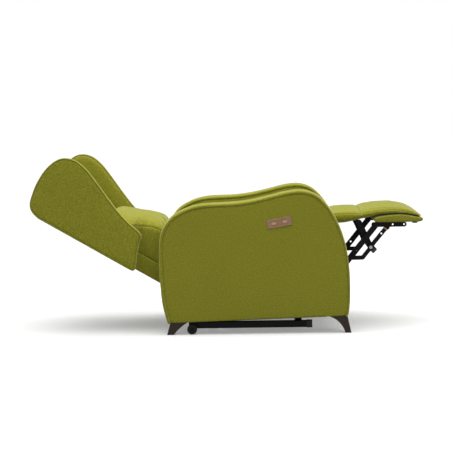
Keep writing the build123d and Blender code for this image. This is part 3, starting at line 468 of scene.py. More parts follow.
def stitchRow(name, path, ups, body, pitchMm=8.5, lengthMm=5.6, radiusMm=0.9):
    # one short bead of thread for each stitch, its two ends drawn down into the cloth
    lengths = [0.0]
    for a, b in zip(path, path[1:]):
        lengths.append(lengths[-1] + (b - a).length * 1000)
    verts, faces = [], []
    count = int(lengths[-1] / pitchMm)
    at = 0

    def spotAt(distance):
        nonlocal at
        while at < len(lengths) - 2 and lengths[at + 1] < distance:
            at += 1
        while at > 0 and lengths[at] > distance:
            at -= 1
        share = (distance - lengths[at]) / max(lengths[at + 1] - lengths[at], 1e-9)
        return path[at].lerp(path[at + 1], share), ups[at].lerp(ups[at + 1], share).normalized()

    for k in range(count):
        middle = (k + 0.5) * pitchMm
        first = len(verts)
        for part, (along, width, lift) in enumerate(
            ((-0.5, 0.35, -0.9), (-0.32, 0.9, 0.1), (0.0, 1.0, 0.55), (0.32, 0.9, 0.1), (0.5, 0.35, -0.9))
        ):
            spot, up = spotAt(min(max(middle + along * lengthMm, 0), lengths[-1]))
            ahead, _ = spotAt(min(middle + along * lengthMm + 1, lengths[-1]))
            before, _ = spotAt(max(middle + along * lengthMm - 1, 0))
            tangent = (ahead - before).normalized()
            aside = tangent.cross(up).normalized()
            for corner in range(6):
                turn = math.pi * corner / 3
                reach = radiusMm * width / 1000
                verts.append(
                    spot
                    + up * (lift * radiusMm / 1000 + math.sin(turn) * reach)
                    + aside * (math.cos(turn) * reach)
                )
        for ring in range(4):
            a = first + ring * 6
            for corner in range(6):
                n = (corner + 1) % 6
                faces.append((a + corner, a + n, a + 6 + n, a + 6 + corner))
        faces.append(tuple(first + c for c in range(6)))
        faces.append(tuple(first + 24 + c for c in range(6)))
    return addPiece(name, verts, faces, thread, body)


def seamRow(name, outline, place, level, inset, towards, body, closed=False, radiusMm=0.9):
    # stitches along an outline, a little inside it, on the panel whose face looks along towards
    normals = outwardNormals(outline, closed)
    path = [place(level, p - n * inset) for p, n in zip(outline, normals)]
    ups = [Vector((towards, 0, 0)) for _ in path]
    return stitchRow(name, path, ups, body, radiusMm=radiusMm)


# arms

armShape = {
    "seam": [
        (-418, 55), (-438, 137), (-447, 227), (-450, 316), (-449, 405), (-443, 445), (-427, 480),
        (-400, 513), (-368, 534), (-324, 553), (-280, 563), (-235, 567), (-191, 568), (-125, 571),
        (-59, 579), (-6, 590), (43, 601), (96, 614), (153, 621), (197, 616), (232, 600), (262, 573),
        (293, 533), (319, 484), (340, 433), (357, 371), (366, 300), (370, 215), (369, 149), (363, 91),
        (356, 78),
    ],
    "spine": [(-250, 290), (180, 310)],
    "outerRim": [(0.4, 373.4), (0.8, 375.0), (2.2, 376.3), (5, 377.0), (10, 377.3)],
    "outerMiddle": 377.4,  # the button plate stands proud of the panel
    "innerRim": [(0.4, 250.0), (0.8, 247.8), (2.2, 246.2), (5, 245.2), (10, 244.6)],
    "innerMiddle": 243.0,
    "outerBack": 362.0,
    "innerBack": 262.0,
    "band": [
        (370.0, -9.0), (374.6, -1.0), (377.6, 1.4), (379.6, 4.6), (379.4, 9.0), (376.4, 12.8), (370.5, 15.2),
        (360.0, 16.2), (340.0, 16.9), (312.0, 17.6), (284.0, 16.9), (264.0, 16.2), (253.5, 15.2),
        (247.6, 12.8), (244.6, 9.0), (244.4, 4.6), (246.4, 1.4), (249.4, -1.0), (254.0, -9.0),
    ],
    "stepMm": 6.0,
    # stitch rows: name, distance from the middle, how far inside the seam, which way the face looks
    "stitching": [("outerSeam_", 375.6, 0.4, 1), ("innerSeam_", 248.4, 0.4, -1), ("innerTopstitch_", 244.6, 12.0, -1)],
}


def armSwell(share):
    # the band stands further out behind and on top than down the front
    return 1.0 - 0.42 * min(max((share - 0.62) / 0.2, 0.0), 1.0)


def buildArm(sideName):
    side = sides[sideName]
    place = bodyPlace(side, "base")
    line = curveThrough(armShape["seam"], armShape["stepMm"])
    foot = [line[-1].lerp(line[0], k / 110) for k in range(1, 110)]
    outline = line + foot
    for face, seed in (("outer", 1.0), ("inner", 4.0)):
        panel = crownedPanel(
            face + "Panel_" + sideName, outline, place, armShape[face + "Rim"], armShape[face + "Middle"],
            armShape[face + "Back"], seed + side, "base", armShape["spine"],
        )
        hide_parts("arm_" + face + "_pad_" + sideName)
    band = sweptBand("armBand_" + sideName, line, armShape["band"], armSwell, place, False, 8.0 + side, "base")
    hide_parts("arm_band_" + sideName)
    for rowName, level, inset, looks in armShape["stitching"]:
        seamRow(rowName + sideName, line, place, level, inset, side * looks, "base")


for sideName in sides:
    buildArm(sideName)
print("arms built")

# wings

wingShape = {
    "outline": [
        (270, -150), (257.5, -147), (252.5, -137), (256.5, -123), (276, -75), (293, -27), (299, 6),
        (325, 20), (375, 30), (440, 51), (520, 86), (597, 122), (665, 149), (728, 156), (782, 130),
        (812, 70), (820, 0), (815, -60), (802, -112), (775, -139), (737, -150),
    ],
    "outerRim": [(0.4, 340.0), (0.8, 341.8), (2.0, 343.4), (4.5, 344.4), (8, 344.8)],
    "outerMiddle": 346.0,
    "spine": [(345, -70), (720, 0)],
    "innerRim": [(0.4, 319.4), (1.2, 316.8), (3.5, 313.8), (8, 311.0), (16, 308.6)],
    "innerMiddle": 304.4,
    "outerBack": 334.0,
    "innerBack": 316.0,
    "band": [
        (336.0, -6.0), (340.6, -0.8), (343.0, 0.7), (344.6, 2.6), (344.4, 4.8), (341.6, 6.4), (335.0, 7.3),
        (329.0, 7.4), (322.6, 6.9), (318.6, 5.8), (316.6, 4.2), (316.4, 2.4), (317.8, 0.7), (319.8, -0.8),
        (323.0, -6.0),
    ],
    "stepMm": 5.0,
    "seamInsetMm": 6.5,
    "stitching": [("wingOuterSeam_", 340.4, 0.4, 1), ("wingInnerSeam_", 319.0, 0.4, -1)],
    "threadMm": 0.6,
}


def buildWing(sideName):
    side = sides[sideName]
    place = bodyPlace(side, "back")
    edge = curveThrough(wingShape["outline"], wingShape["stepMm"])
    edge += [edge[-1].lerp(edge[0], k / 90) for k in range(1, 90)]
    outline = [p - n * wingShape["seamInsetMm"] for p, n in zip(edge, outwardNormals(edge, True))]
    for face, seed in (("outer", 11.0), ("inner", 14.0)):
        panel = crownedPanel(
            "wing" + face.capitalize() + "_" + sideName, outline, place, wingShape[face + "Rim"],
            wingShape[face + "Middle"], wingShape[face + "Back"], seed + side, "back", wingShape["spine"],
        )
        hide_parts("wing_" + face + "_pad_" + sideName)
    band = sweptBand(
        "wingBand_" + sideName, outline, wingShape["band"], lambda share: 1.0, place, True, 17.0 + side, "back"
    )
    for rowName, level, inset, looks in wingShape["stitching"]:
        seamRow(
            rowName + sideName, outline, place, level, inset, side * looks, "back", radiusMm=wingShape["threadMm"]
        )


for sideName in sides:
    buildWing(sideName)
print("wings built")

# cushions

# each row: station, half width, underside, side seam, crown, how far the seam is drawn in

cushions = {
    "seatCushion": {
        "nodes": ["seat_cushion"], "body": "base", "axes": "base",
        "rows": [
            (-329, 227, 389, 446, 456, 5), (-314, 232, 389, 458, 469, 7), (-290, 236, 389, 474, 486, 8),
            (-120, 238, 389, 485, 502, 9), (120, 238, 389, 488, 507, 9), (240, 236, 389, 485, 504, 8),
            (280, 232, 389, 476, 492, 7), (299, 228, 389, 460, 474, 5),
        ],
        "shrinkMm": 6, "capMm": 13, "voxelMm": 8.0, "fill": 0.75,
    },
    "lumbarCushion": {
        "nodes": ["lumbar_cushion"], "body": "back", "axes": "back",
        "rows": [
            (223, 226, -88, 56, 90, 5), (238, 229, -88, 63, 104, 6), (252, 230, -88, 65, 110, 6),
            (291, 231, -88, 57, 103, 7), (312, 231, -88, 46, 97, 7), (340, 254, -88, 33, 88, 7),
            (362, 288, -88, 20, 77, 7), (415, 299, -88, 4, 59, 7), (450, 299, -88, -10, 46, 7),
            (470, 299, -88, -15, 39, 6), (480, 298, -88, -18, 34, 6),
        ],
        # the underside runs down behind the seat: (distance out of the back, shift up it)
        "tuck": [(-88, 0), (-84, 3), (-18, 57), (-6, 69), (32, 82), (90, 91), (140, 92)],
        "tuckStart": 130.0, "tuckFade": 200.0, "corner": 4.0,
        "shrinkMm": 3, "capMm": 6, "voxelMm": 7.0, "fill": 0.75,
    },
    "headCushion": {
        "nodes": ["head_cushion"], "body": "back", "axes": "back",
        "rows": [
            (482, 298, -88, -24, 14, 6), (500, 300, -88, -14, 24, 7), (530, 301, -88, -5, 29, 8),
            (600, 302, -88, -2, 29, 8), (700, 301, -88, -8, 23, 8), (750, 299, -88, -24, 0, 7),
            (784, 295, -88, -48, -20, 6), (800, 291, -88, -62, -46, 5),
        ],
        "shrinkMm": 4, "capMm": 10, "voxelMm": 7.5, "fill": 0.8,
    },
    "footrestPad": {
        "nodes": ["calf_pad", "foot_pad"], "body": "footrest", "axes": "base",
        "rows": [
            (302, 232, 482, 518, 532, 4), (325, 235, 482, 521, 536, 5), (366, 237, 485, 524, 539, 6),
            (410, 236, 494, 525, 539, 6), (428, 235, 498, 524, 538, 5), (437, 235, 500, 523, 536, 4),
            (446, 235, 502, 526, 539, 5), (466, 237, 506, 531, 547, 6), (520, 238, 517, 539, 555, 6),
            (590, 238, 520, 541, 557, 6), (650, 237, 515, 531, 546, 6), (685, 236, 506, 517, 530, 5),
            (704, 235, 501, 508, 516, 4), (719, 233, 499, 502, 507, 3),
        ],
        "crease": 437.0,
        "shrinkMm": 2, "capMm": 6, "voxelMm": 6.0, "fill": 0.8,
    },
}


def cushionRing(half, under, seam, crown, draw, corner=12.0):
    # half section from the middle of the underside to the crown, then mirrored
    rise = seam - under
    corner = min(corner, rise * 0.4)
    right = [(half * k / 8 * 0.95, under) for k in range(9)]
    right.append((half - corner * 0.3, under + corner * 0.3))
    for k in range(1, 8):
        share = k / 8
        swell = math.sin(math.pi * share) * min(4.0, rise * 0.06)
        right.append((half - draw * 0.35 * share + swell, under + corner * 0.5 + (rise - corner * 0.5) * share))
    edge = half - draw
    right.append((edge, seam))
    for k in range(1, 15):
        share = 1 - k / 14
        right.append((edge * share, seam + (crown - seam) * (1 - share**2.4) ** 0.75))
    left = [(-x, z) for x, z in reversed(right[1:-1])]
    return right + left


def rowAt(rows, station):
    if station <= rows[0][0]:
        return list(rows[0])
    for a, b in zip(rows, rows[1:]):
        if station <= b[0]:
            share = (station - a[0]) / (b[0] - a[0])
            return [p + (q - p) * share for p, q in zip(a, b)]
    return list(rows[-1])


def tuckShift(facts, out):
    shape = facts["tuck"]
    for a, b in zip(shape, shape[1:]):
        if out <= b[0]:
            share = max(0.0, (out - a[0]) / (b[0] - a[0]))
            return a[1] + (b[1] - a[1]) * share
    return shape[-1][1]


def tuckFade(facts, station):
    return max(0.0, 1 - (station - facts["tuckStart"]) / facts["tuckFade"])


def cushionPoint(facts, x, station, z):
    point = backPoint if facts["axes"] == "back" else sidePoint
    if "tuck" in facts:
        station += tuckShift(facts, z) * tuckFade(facts, station)
    return point(x, station, z)


def cushionStations(facts):
    rows, shrink = facts["rows"], facts["shrinkMm"]
    first = facts.get("tuckStart", rows[0][0]) + shrink
    last = rows[-1][0] - shrink
    count = max(6, round((last - first) / 9))
    inner = [first + (last - first) * k / count for k in range(1, count)]
    return [first, first + 1.5, first + 4.0, *inner, last - 4.0, last - 1.5, last]


def sectionAt(facts, station):
    # half width, underside, seam and crown of the shrunk shell
    rows, shrink = facts["rows"], facts["shrinkMm"]
    seamStation = station
    if "tuck" in facts:
        seamStation += facts["tuck"][-1][1] * tuckFade(facts, station)
    _, half, under, seam, crown, draw = rowAt(rows, seamStation)
    return half - shrink * 0.6, under + 0.3, seam - shrink * 0.8, crown - shrink, draw


def buildCushion(name, facts):
    rings = []
    for station in cushionStations(facts):
        ring = cushionRing(*sectionAt(facts, station), facts.get("corner", 12.0))
        rings.append([cushionPoint(facts, x, station, z) for x, z in ring])
    verts, faces = ringMesh(rings, False)
    return addPiece(name, verts, faces, felt, facts["body"])


def applyModifiers(piece):
    graph = bpy.context.evaluated_depsgraph_get()
    mesh = bpy.data.meshes.new_from_object(piece.evaluated_get(graph))
    piece.modifiers.clear()
    old = piece.data
    piece.data = mesh
    bpy.data.meshes.remove(old)


filling = {"pressure": 4.0, "quality": 4, "mass": 0.3, "tension": 12, "bending": 1.5, "frames": 20}


def plump(piece, voxelMm, capMm):
    # fills the sewn shell as a foam core presses on its cover
    remesh = piece.modifiers.new("even", "REMESH")
    remesh.mode = "VOXEL"
    remesh.voxel_size = voxelMm / 1000
    applyModifiers(piece)
    start = [v.co.copy() for v in piece.data.vertices]
    cloth = piece.modifiers.new("filling", "CLOTH")
    cloth.settings.quality = filling["quality"]
    cloth.settings.mass = filling["mass"]
    cloth.settings.use_pressure = True
    cloth.settings.uniform_pressure_force = filling["pressure"]
    cloth.settings.effector_weights.gravity = 0
    cloth.settings.tension_stiffness = filling["tension"]
    cloth.settings.bending_stiffness = filling["bending"]
    cloth.collision_settings.use_collision = False
    cloth.point_cache.frame_start = 1
    cloth.point_cache.frame_end = filling["frames"]
    for step in range(1, filling["frames"] + 1):
        bpy.context.scene.frame_set(step)
    applyModifiers(piece)
    bpy.context.scene.frame_set(1)
    for vertex, before in zip(piece.data.vertices, start):
        moved = vertex.co - before
        if moved.length > capMm / 1000:
            vertex.co = before + moved.normalized() * capMm / 1000


def surfacePath(piece, points):
    # the nearest line on the piece, with the surface's own directions
    tree = BVHTree.FromPolygons([v.co for v in piece.data.vertices], [p.vertices for p in piece.data.polygons])
    path, ups = [], []
    for point in points:
        spot, normal, _, _ = tree.find_nearest(point)
        path.append(spot)
        ups.append(normal)
    return path, ups


def carveSeam(piece, path, widthMm, depthMm):
    # draws the cloth in along a sewn line
    tree = KDTree(len(path))
    for i, point in enumerate(path):
        tree.insert(point, i)
    tree.balance()
    width = widthMm / 1000
    for vertex in piece.data.vertices:
        _, _, distance = tree.find(vertex.co)
        if distance < width:
            vertex.co -= vertex.normal * (depthMm / 1000) * (1 - distance / width) ** 1.6


def sewSeam(name, piece, points, body, widthMm, depthMm):
    path, ups = surfacePath(piece, points)
    carveSeam(piece, path, widthMm, depthMm)
    path, ups = surfacePath(piece, path)
    stitchRow(name, path, ups, body)


def spread(a, b, stepMm):
    count = max(2, round((b - a) / stepMm))
    return [a + (b - a) * k / count for k in range(count + 1)]


for name, facts in cushions.items():
    piece = buildCushion(name, facts)
    plump(piece, facts["voxelMm"], facts["capMm"])
    finer = piece.modifiers.new("finer", "SUBSURF")
    finer.levels = finer.render_levels = 1
    applyModifiers(piece)
    piece.data.materials.clear()
    piece.data.materials.append(felt)
    stations = cushionStations(facts)
    for sideName, side in sides.items():
        points = []
        for station in spread(stations[0], stations[-1], 3.0):
            half, _, seam, _, draw = sectionAt(facts, station)
            points.append(cushionPoint(facts, side * (half - draw), station, seam))
        sewSeam(name + "Seam_" + sideName, piece, points, facts["body"], 7.0, 3.2)
    if "crease" in facts:
        half, _, seam, crown, draw = sectionAt(facts, facts["crease"])
        points = []
        for x in spread(-half, half, 3.0):
            points.append(cushionPoint(facts, x, facts["crease"], crown + 10))
        sewSeam(name + "Crease", piece, points, facts["body"], 12.0, 5.0)
    piece.data.shade_smooth()
    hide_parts(*facts["nodes"])
    print(name, "filled,", len(piece.data.vertices), "points")


# flat upholstered parts: footrest board, back of the back, rails


def slabAcross(name, profile, half, roundMm, point, material, body, seed=0.0):
    # the closed side profile carried across the chair, rounded over at both ends
    normals = outwardNormals(profile, True)
    across = []
    for k in range(5):
        turn = math.pi / 2 * k / 4
        across.append((half - roundMm * (1 - math.sin(turn)), roundMm * (1 - math.cos(turn))))
    steps = [(-x, inset) for x, inset in reversed(across)]
    inner = half - roundMm
    steps += [(x, 0.0) for x in spread(-inner, inner, 14.0)[1:-1]]
    steps += across
    rings = []
    for x, inset in sorted(steps):
        ring = []
        for p, n in zip(profile, normals):
            out = waver(Vector((x, p.x + p.y)), 80.0, seed) * 0.7 if inset == 0.0 else 0.0
            spot = p - n * (inset - out)
            ring.append(point(x, spot.x, spot.y))
        rings.append(ring)
    verts, faces = ringMesh(rings, False)
    return addPiece(name, verts, faces, material, body)


def evenlyFilled(outline, stepMm):
    # closed outline with points put in along its straight runs
    filled = []
    for p, q in zip(outline, outline[1:] + outline[:1]):
        count = max(1, round((q - p).length / stepMm))
        filled += [p.lerp(q, k / count) for k in range(count)]
    return filled


def roundedBox(low, high, radius, stepMm=4.0):
    # closed rectangle outline with rounded corners, its shape on the right
    (a, c), (b, d) = low, high
    corners = [((a + radius, d - radius), 180), ((b - radius, d - radius), 90), ((b - radius, c + radius), 0),
               ((a + radius, c + radius), -90)]
    outline = []
    for (x, y), start in corners:
        for k in range(5):
            turn = math.radians(start - 90 * k / 4)
            outline.append(Vector((x + radius * math.cos(turn), y + radius * math.sin(turn))))
    return evenlyFilled(outline, stepMm)


boardShape = {
    "profile": [
        (498, 491), (501, 499), (507, 503.5), (530, 508), (570, 512.5), (620, 513.5), (655, 510),
        (688, 503.4), (704, 500.8), (712, 499.4), (717, 495.6), (717.4, 490), (713, 484.6), (705, 481.4),
        (692, 480.4), (640, 480.3), (580, 480.3), (520, 480.3), (506, 481), (500, 485),
    ],
    "half": 234.4,
    "roundMm": 7.0,
    "seamLevel": 233.7,
    "seamInsetMm": 6.6,
    "threadMm": 0.6,
    # black lining between the board and the pad, set in from the sides
    "lining": [
        (512, 500), (530, 505), (570, 509), (620, 510), (655, 507), (688, 501), (702, 499.6), (700, 505),
        (688, 509.6), (655, 518.6), (620, 523.4), (570, 522), (530, 517), (512, 511),
    ],
    "liningHalf": 227.0,
}
boardWrap = slabAcross(
    "boardWrap", curveThrough(boardShape["profile"], 4.0, True), boardShape["half"], boardShape["roundMm"],
    sidePoint, felt, "footrest", seed=21.0,
)
lining = slabAcross(
    "boardLining", curveThrough(boardShape["lining"][::-1], 4.0, True), boardShape["liningHalf"], 1.5, sidePoint,
    dustCloth, "footrest", 23.0,
)
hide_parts("board_cover")
for sideName, side in sides.items():
    path = curveThrough(boardShape["profile"], 4.0, True)
    seamRow(
        "boardSeam_" + sideName, path, bodyPlace(side, "base"), boardShape["seamLevel"], boardShape["seamInsetMm"],
        side, "footrest", True, boardShape["threadMm"],
    )

backShape = {
    "outline": [
        (-231, -20), (-231, 318), (-303, 348), (-303, 745), (303, 745), (303, 348), (231, 318), (231, -20),
    ],
    "rim": [(0.4, -143.5), (0.8, -146.4), (2.2, -148.6), (5, -149.6), (10, -150.0)],
    "middle": -151.8,
    "inner": -137.0,
    "spine": [(0, 130), (0, 560)],
    "topstitchMm": 16.0,
    "topstitchLevel": -150.3,
}


def softCorners(points, radius, stepMm):
    # closed outline through the corner points, each corner rounded, its shape on the right
    outline = []
    count = len(points)
    for i in range(count):
        corner = Vector(points[i])
        before = (Vector(points[i - 1]) - corner).normalized()
        after = (Vector(points[(i + 1) % count]) - corner).normalized()
        for k in range(5):
            share = k / 4
            a, b = corner + before * radius, corner + after * radius
            outline.append(a.lerp(corner, share).lerp(corner.lerp(b, share), share))
    return evenlyFilled(outline, stepMm)


def panelStitches(name, outline, insetMm, place, body, up):
    # a closed row of stitches on a flat panel, set in from its edge
    normals = outwardNormals(outline, True)
    path = [place(p - n * insetMm) for p, n in zip(outline, normals)]
    path.append(path[0])
    stitchRow(name, path, [up] * len(path), body)


def behindPlace(level, spot):
    return backPoint(spot[0], spot[1], level)


backOutward = backPoint(0, 0, -1) - backPoint(0, 0, 0)
backOutward.normalize()
rearOutline = softCorners(backShape["outline"], 9.0, 6.0)
rearSkin = crownedPanel(
    "rearPanel", rearOutline, behindPlace, backShape["rim"], backShape["middle"], backShape["inner"], 31.0,
    "back", backShape["spine"],
)
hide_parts("back_panel")
panelStitches(
    "rearTopstitch", rearOutline, backShape["topstitchMm"], lambda p: behindPlace(backShape["topstitchLevel"], p),
    "back", backOutward,
)

apronShape = {
    "rim": [(0.4, -82.0), (1.2, -77.5), (3.5, -74.5), (8, -72.8), (15, -71.6)],
    "middle": -68.5,
    "inner": -89.7,
    "spine": [(-150, 52), (150, 52)],
}
apronOutline = softCorners([(-224.5, -19.5), (-224.5, 123.5), (224.5, 123.5), (224.5, -19.5)], 10.0, 6.0)
apron = crownedPanel(
    "backApron", apronOutline, behindPlace, apronShape["rim"], apronShape["middle"], apronShape["inner"], 33.0,
    "back", apronShape["spine"],
)
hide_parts("back_apron")

borderShape = {
    "path": [
        (231.3, -18), (231.3, 120), (231.3, 250), (231.3, 306), (233.5, 318), (245, 328), (270, 338),
        (297, 348),
    ],
    "halfThickMm": 1.9,
    "low": -149.0,
    "high": -76.0,
}


def buildBackBorder(sideName):
    # cloth border between the rear panel and the lumbar cushion
    side = sides[sideName]
    line = curveThrough(borderShape["path"], 5.0)
    normals = outwardNormals(line, False)
    thick = borderShape["halfThickMm"]
    levels = spread(borderShape["low"], borderShape["high"], 6.0)
    rings = []
    for p, n in zip(line, normals):
        ring = []
        for i, level in enumerate(levels):
            ease = min(1.0, 0.4 + 0.6 * min(i, len(levels) - 1 - i))
            bulge = math.sin(math.pi * i / (len(levels) - 1)) * 1.2
            spot = p - n * (thick * ease + bulge)
            ring.append(backPoint(side * spot.x, spot.y, level))
        for i, level in reversed(list(enumerate(levels))):
            ease = min(1.0, 0.4 + 0.6 * min(i, len(levels) - 1 - i))
            spot = p + n * thick * ease
            ring.append(backPoint(side * spot.x, spot.y, level))
        rings.append(ring)
    verts, faces = ringMesh(rings, False)
    piece = addPiece("backBorder_" + sideName, verts, faces, felt, "back")


for sideName in sides:
    buildBackBorder(sideName)

topBorder = slabAcross(
    "backTopBorder", roundedBox((743.6, -149.2), (748.2, -82.0), 2.2, 4.0), 302.0, 2.2, backPoint, felt, "back",
    seed=37.0,
)

railShapes = {
    "frontRailCover": ((290.4, 342.0), (296.0, 388.0)),
    "rearRailCover": ((-316.0, 342.0), (-310.4, 388.0)),
}
railSize = {"half": 237.0, "roundMm": 2.4}
for name, (low, high) in railShapes.items():
    outline = roundedBox(low, high, railSize["roundMm"], 3.0)
    cover = slabAcross(
        name, outline, railSize["half"], railSize["roundMm"], sidePoint, felt, "base", seed=41.0
    )

dustShape = {
    "inner": 254.0,
    "outer": 370.0,
    "rear": -334.0,
    "front": 274.0,
    "thickMm": 1.0,
    "sagMm": 1.4,
    "gapMm": 0.4,
    "stepMm": 12.0,
}


def footLine(forward):
    # height of the arm's lower edge, from its rear corner to its front corner
    (rear, rearUp), (front, frontUp) = armShape["seam"][0], armShape["seam"][-1]
    return rearUp + (frontUp - rearUp) * (forward - rear) / (front - rear)


def buildDustCover(sideName):
    side = sides[sideName]
    levels = spread(dustShape["inner"], dustShape["outer"], dustShape["stepMm"])
    sags = [math.sin(math.pi * (x - levels[0]) / (levels[-1] - levels[0])) * dustShape["sagMm"] for x in levels]
    section = list(zip(levels, sags))
    rings = []
    for station in spread(dustShape["rear"], dustShape["front"], dustShape["stepMm"]):
        upper = footLine(station) - dustShape["gapMm"]
        ring = [sidePoint(side * x, station, upper - sag) for x, sag in section]
        ring += [sidePoint(side * x, station, upper - sag - dustShape["thickMm"]) for x, sag in reversed(section)]
        rings.append(ring)
    verts, faces = ringMesh(rings, False)
    piece = addPiece("dustCover_" + sideName, verts, faces, dustCloth, "base")


for sideName in sides:
    buildDustCover(sideName)
print("flat upholstery built")

# small hardware on the footrest linkage


def turnedDisc(name, place, profile, material, body, facets=28):
    # turned part on a pivot: the profile is (radius, distance from the middle plane)
    rings = []
    for radius, level in profile:
        ring = []
        for k in range(facets):
            turn = 2 * math.pi * k / facets
            ring.append(sidePoint(level, place[0] + radius * math.cos(turn), place[1] + radius * math.sin(turn)))
        rings.append(ring)
    verts, faces = ringMesh(rings, False)
    return addPiece(name, verts, faces, material, body)


sleeve = {"place": (549.0, 449.6), "width": 6.5, "length": 21.0, "leanDegrees": 50.3}
linkage = {
    # rivet heads: name, body, place, distance from the middle, radius
    "rivets": [
        ("longLinkRivet_", "long_link", (503.0, 464.0), 222.05, 8.0),
        ("upperLinkRivet_", "upper_link", (556.0, 458.0), 216.1, 8.4),
        ("crankRivet_", "crank", (366.6, 294.3), 228.05, 8.0),
    ],
    "tube": (494.0, 355.5),
}


def rivetHead(name, side, place, level, body, radius):
    profile = [(radius, side * level), (radius, side * (level + 0.5)), (radius * 0.86, side * (level + 1.05)),
               (radius * 0.6, side * (level + 1.35)), (radius * 0.2, side * (level + 1.5))]
    turnedDisc(name, place, profile, coatedSteel, body)


def linkSleeve(name, side):
    # nylon strip across the upper link, just below its pivot
    facts = sleeve
    lean = math.radians(facts["leanDegrees"])
    outline = roundedBox((-facts["width"] / 2, -facts["length"] / 2), (facts["width"] / 2, facts["length"] / 2), 1.6)
    rings = []
    for inset, level in ((0.4, 214.0), (0.0, 214.4), (0.0, 217.4), (0.5, 217.9)):
        ring = []
        for p, n in zip(outline, outwardNormals(outline, True)):
            spot = p - n * inset
            forward = facts["place"][0] + spot.x * math.cos(lean) - spot.y * math.sin(lean)
            up = facts["place"][1] + spot.x * math.sin(lean) + spot.y * math.cos(lean)
            ring.append(sidePoint(side * level, forward, up))
        rings.append(ring)
    verts, faces = ringMesh(rings, False)
    addPiece(name, verts, faces, tanNylon, "upper_link")


def tubePlug(name, side):
    # square cap with rounded corners, pushed into the end of the cross tube
    corner, half = 6.0, 13.2
    rings = []
    for size, level in ((1.0, 204.05), (1.0, 205.0), (0.94, 205.5), (0.8, 205.7), (0.3, 205.75)):
        ring = []
        for k in range(4):
            for step in range(6):
                turn = math.radians(90 * k + 90 * step / 5)
                centre = math.radians(90 * k + 45)
                reach = (half - corner) * math.sqrt(2)
                x = reach * math.cos(centre) + corner * math.cos(turn)
                y = reach * math.sin(centre) + corner * math.sin(turn)
                lean = math.radians(45)
                forward = (x * math.cos(lean) - y * math.sin(lean)) * size
                up = (x * math.sin(lean) + y * math.cos(lean)) * size
                ring.append(sidePoint(side * level, linkage["tube"][0] + forward, linkage["tube"][1] + up))
        rings.append(ring)
    verts, faces = ringMesh(rings, False)
    addPiece(name, verts, faces, greyCap, "cross_lever")


for sideName, side in sides.items():
    for rivetName, body, place, level, radius in linkage["rivets"]:
        rivetHead(rivetName + sideName, side, place, level, body, radius)
    linkSleeve("linkSleeve_" + sideName, side)
    tubePlug("tubePlug_" + sideName, side)
print("linkage hardware built")

# finishes of the carried-over frame parts

def dress(material, *nodes):
    for node in nodes:
        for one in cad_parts[node].material_slots:
            one.link = "OBJECT"
            one.material = material


dress(
    coatedSteel, "base_rails", "cross_tubes", "wheel_brackets", "mechanism_plates", "crank_links", "crank_tube",
    "long_links", "dogleg_links", "upper_links", "cross_levers", "cross_tube", "footrest_brackets",
    "back_brackets", "back_drive_tube", "drive_sleeve", "motor_post",
)
dress(zincSteel, "arm_bolts", "foot_bolts", "drive_rod", "dogleg_rivets")
dress(blackAbs, "rail_caps", "drive_motor", "power_inlet", "footrest_glides")
dress(roseMetal, "button_plate", "switch_box")
dress(roseEdge, "button_recline", "button_raise")
dress(darkWood, "rear_feet", "front_feet")
dress(rubberTread, "wheel_right", "wheel_left")
dress(softwood, "seat_end_boards", "seat_side_boards", "back_stiles", "back_rails")
dress(plywood, "arm_frame_right", "arm_frame_left", "wing_frame_right", "wing_frame_left", "footrest_board")
dress(elasticTape, "seat_webbing")
print("frame parts finished")

# floor, light and camera

studio = {
    "dome": 0.28,
    "keyStrength": 2.9,
    "boxPower": 36.0,
    "boxPlace": (-0.35, 0.0, 2.3),
    "boxSize": (2.4, 3.2),
    "keyDirection": (0.0, 0.02, -1.0),
    "keySpreadDegrees": 90,
    "fillStrength": 0.25,
    "fillDirection": (1.0, 0.15, -0.25),
    "fillSpreadDegrees": 50,
    "floorReach": 60.0,
    "floorBounce": "#a0a0a0",
    "floorSeen": "#d4d4d4",
    "floorGlow": 0.28,
}


def buildStudio():
    world = bpy.data.worlds.new("studioDome")
    bpy.context.scene.world = world
    world.use_nodes = True
    tree = world.node_tree
    tree.nodes.clear()
    seen = addNode(tree, "ShaderNodeLightPath")
    mirror = largerOf(tree, seen.outputs["Is Camera Ray"], seen.outputs["Is Glossy Ray"])
    clear = largerOf(tree, mirror, seen.outputs["Is Transmission Ray"])
    ambient = addNode(tree, "ShaderNodeBackground", {"Color": (1, 1, 1, 1), "Strength": studio["dome"]})
    shown = addNode(tree, "ShaderNodeBackground", {"Color": (1, 1, 1, 1), "Strength": 1.0})
    mix = addNode(tree, "ShaderNodeMixShader")
    tree.links.new(mix.inputs[0], clear)
    tree.links.new(mix.inputs[1], ambient.outputs[0])
    tree.links.new(mix.inputs[2], shown.outputs[0])
    output = addNode(tree, "ShaderNodeOutputWorld")
    tree.links.new(output.inputs["Surface"], mix.outputs[0])


def softSun(name, strength, direction, spreadDegrees):
    lamp = bpy.data.lights.new(name, "SUN")
    lamp.energy = strength
    lamp.angle = math.radians(spreadDegrees)
    holder = bpy.data.objects.new(name, lamp)
    bpy.context.scene.collection.objects.link(holder)
    holder.rotation_mode = "QUATERNION"
    holder.rotation_quaternion = Vector(direction).to_track_quat("-Z", "Y")


def softBox(name, power, place, size):
    # large diffuser hung over the chair
    lamp = bpy.data.lights.new(name, "AREA")
    lamp.shape = "RECTANGLE"
    lamp.size, lamp.size_y = size
    lamp.energy = power
    holder = bpy.data.objects.new(name, lamp)
    bpy.context.scene.collection.objects.link(holder)
    holder.location = place


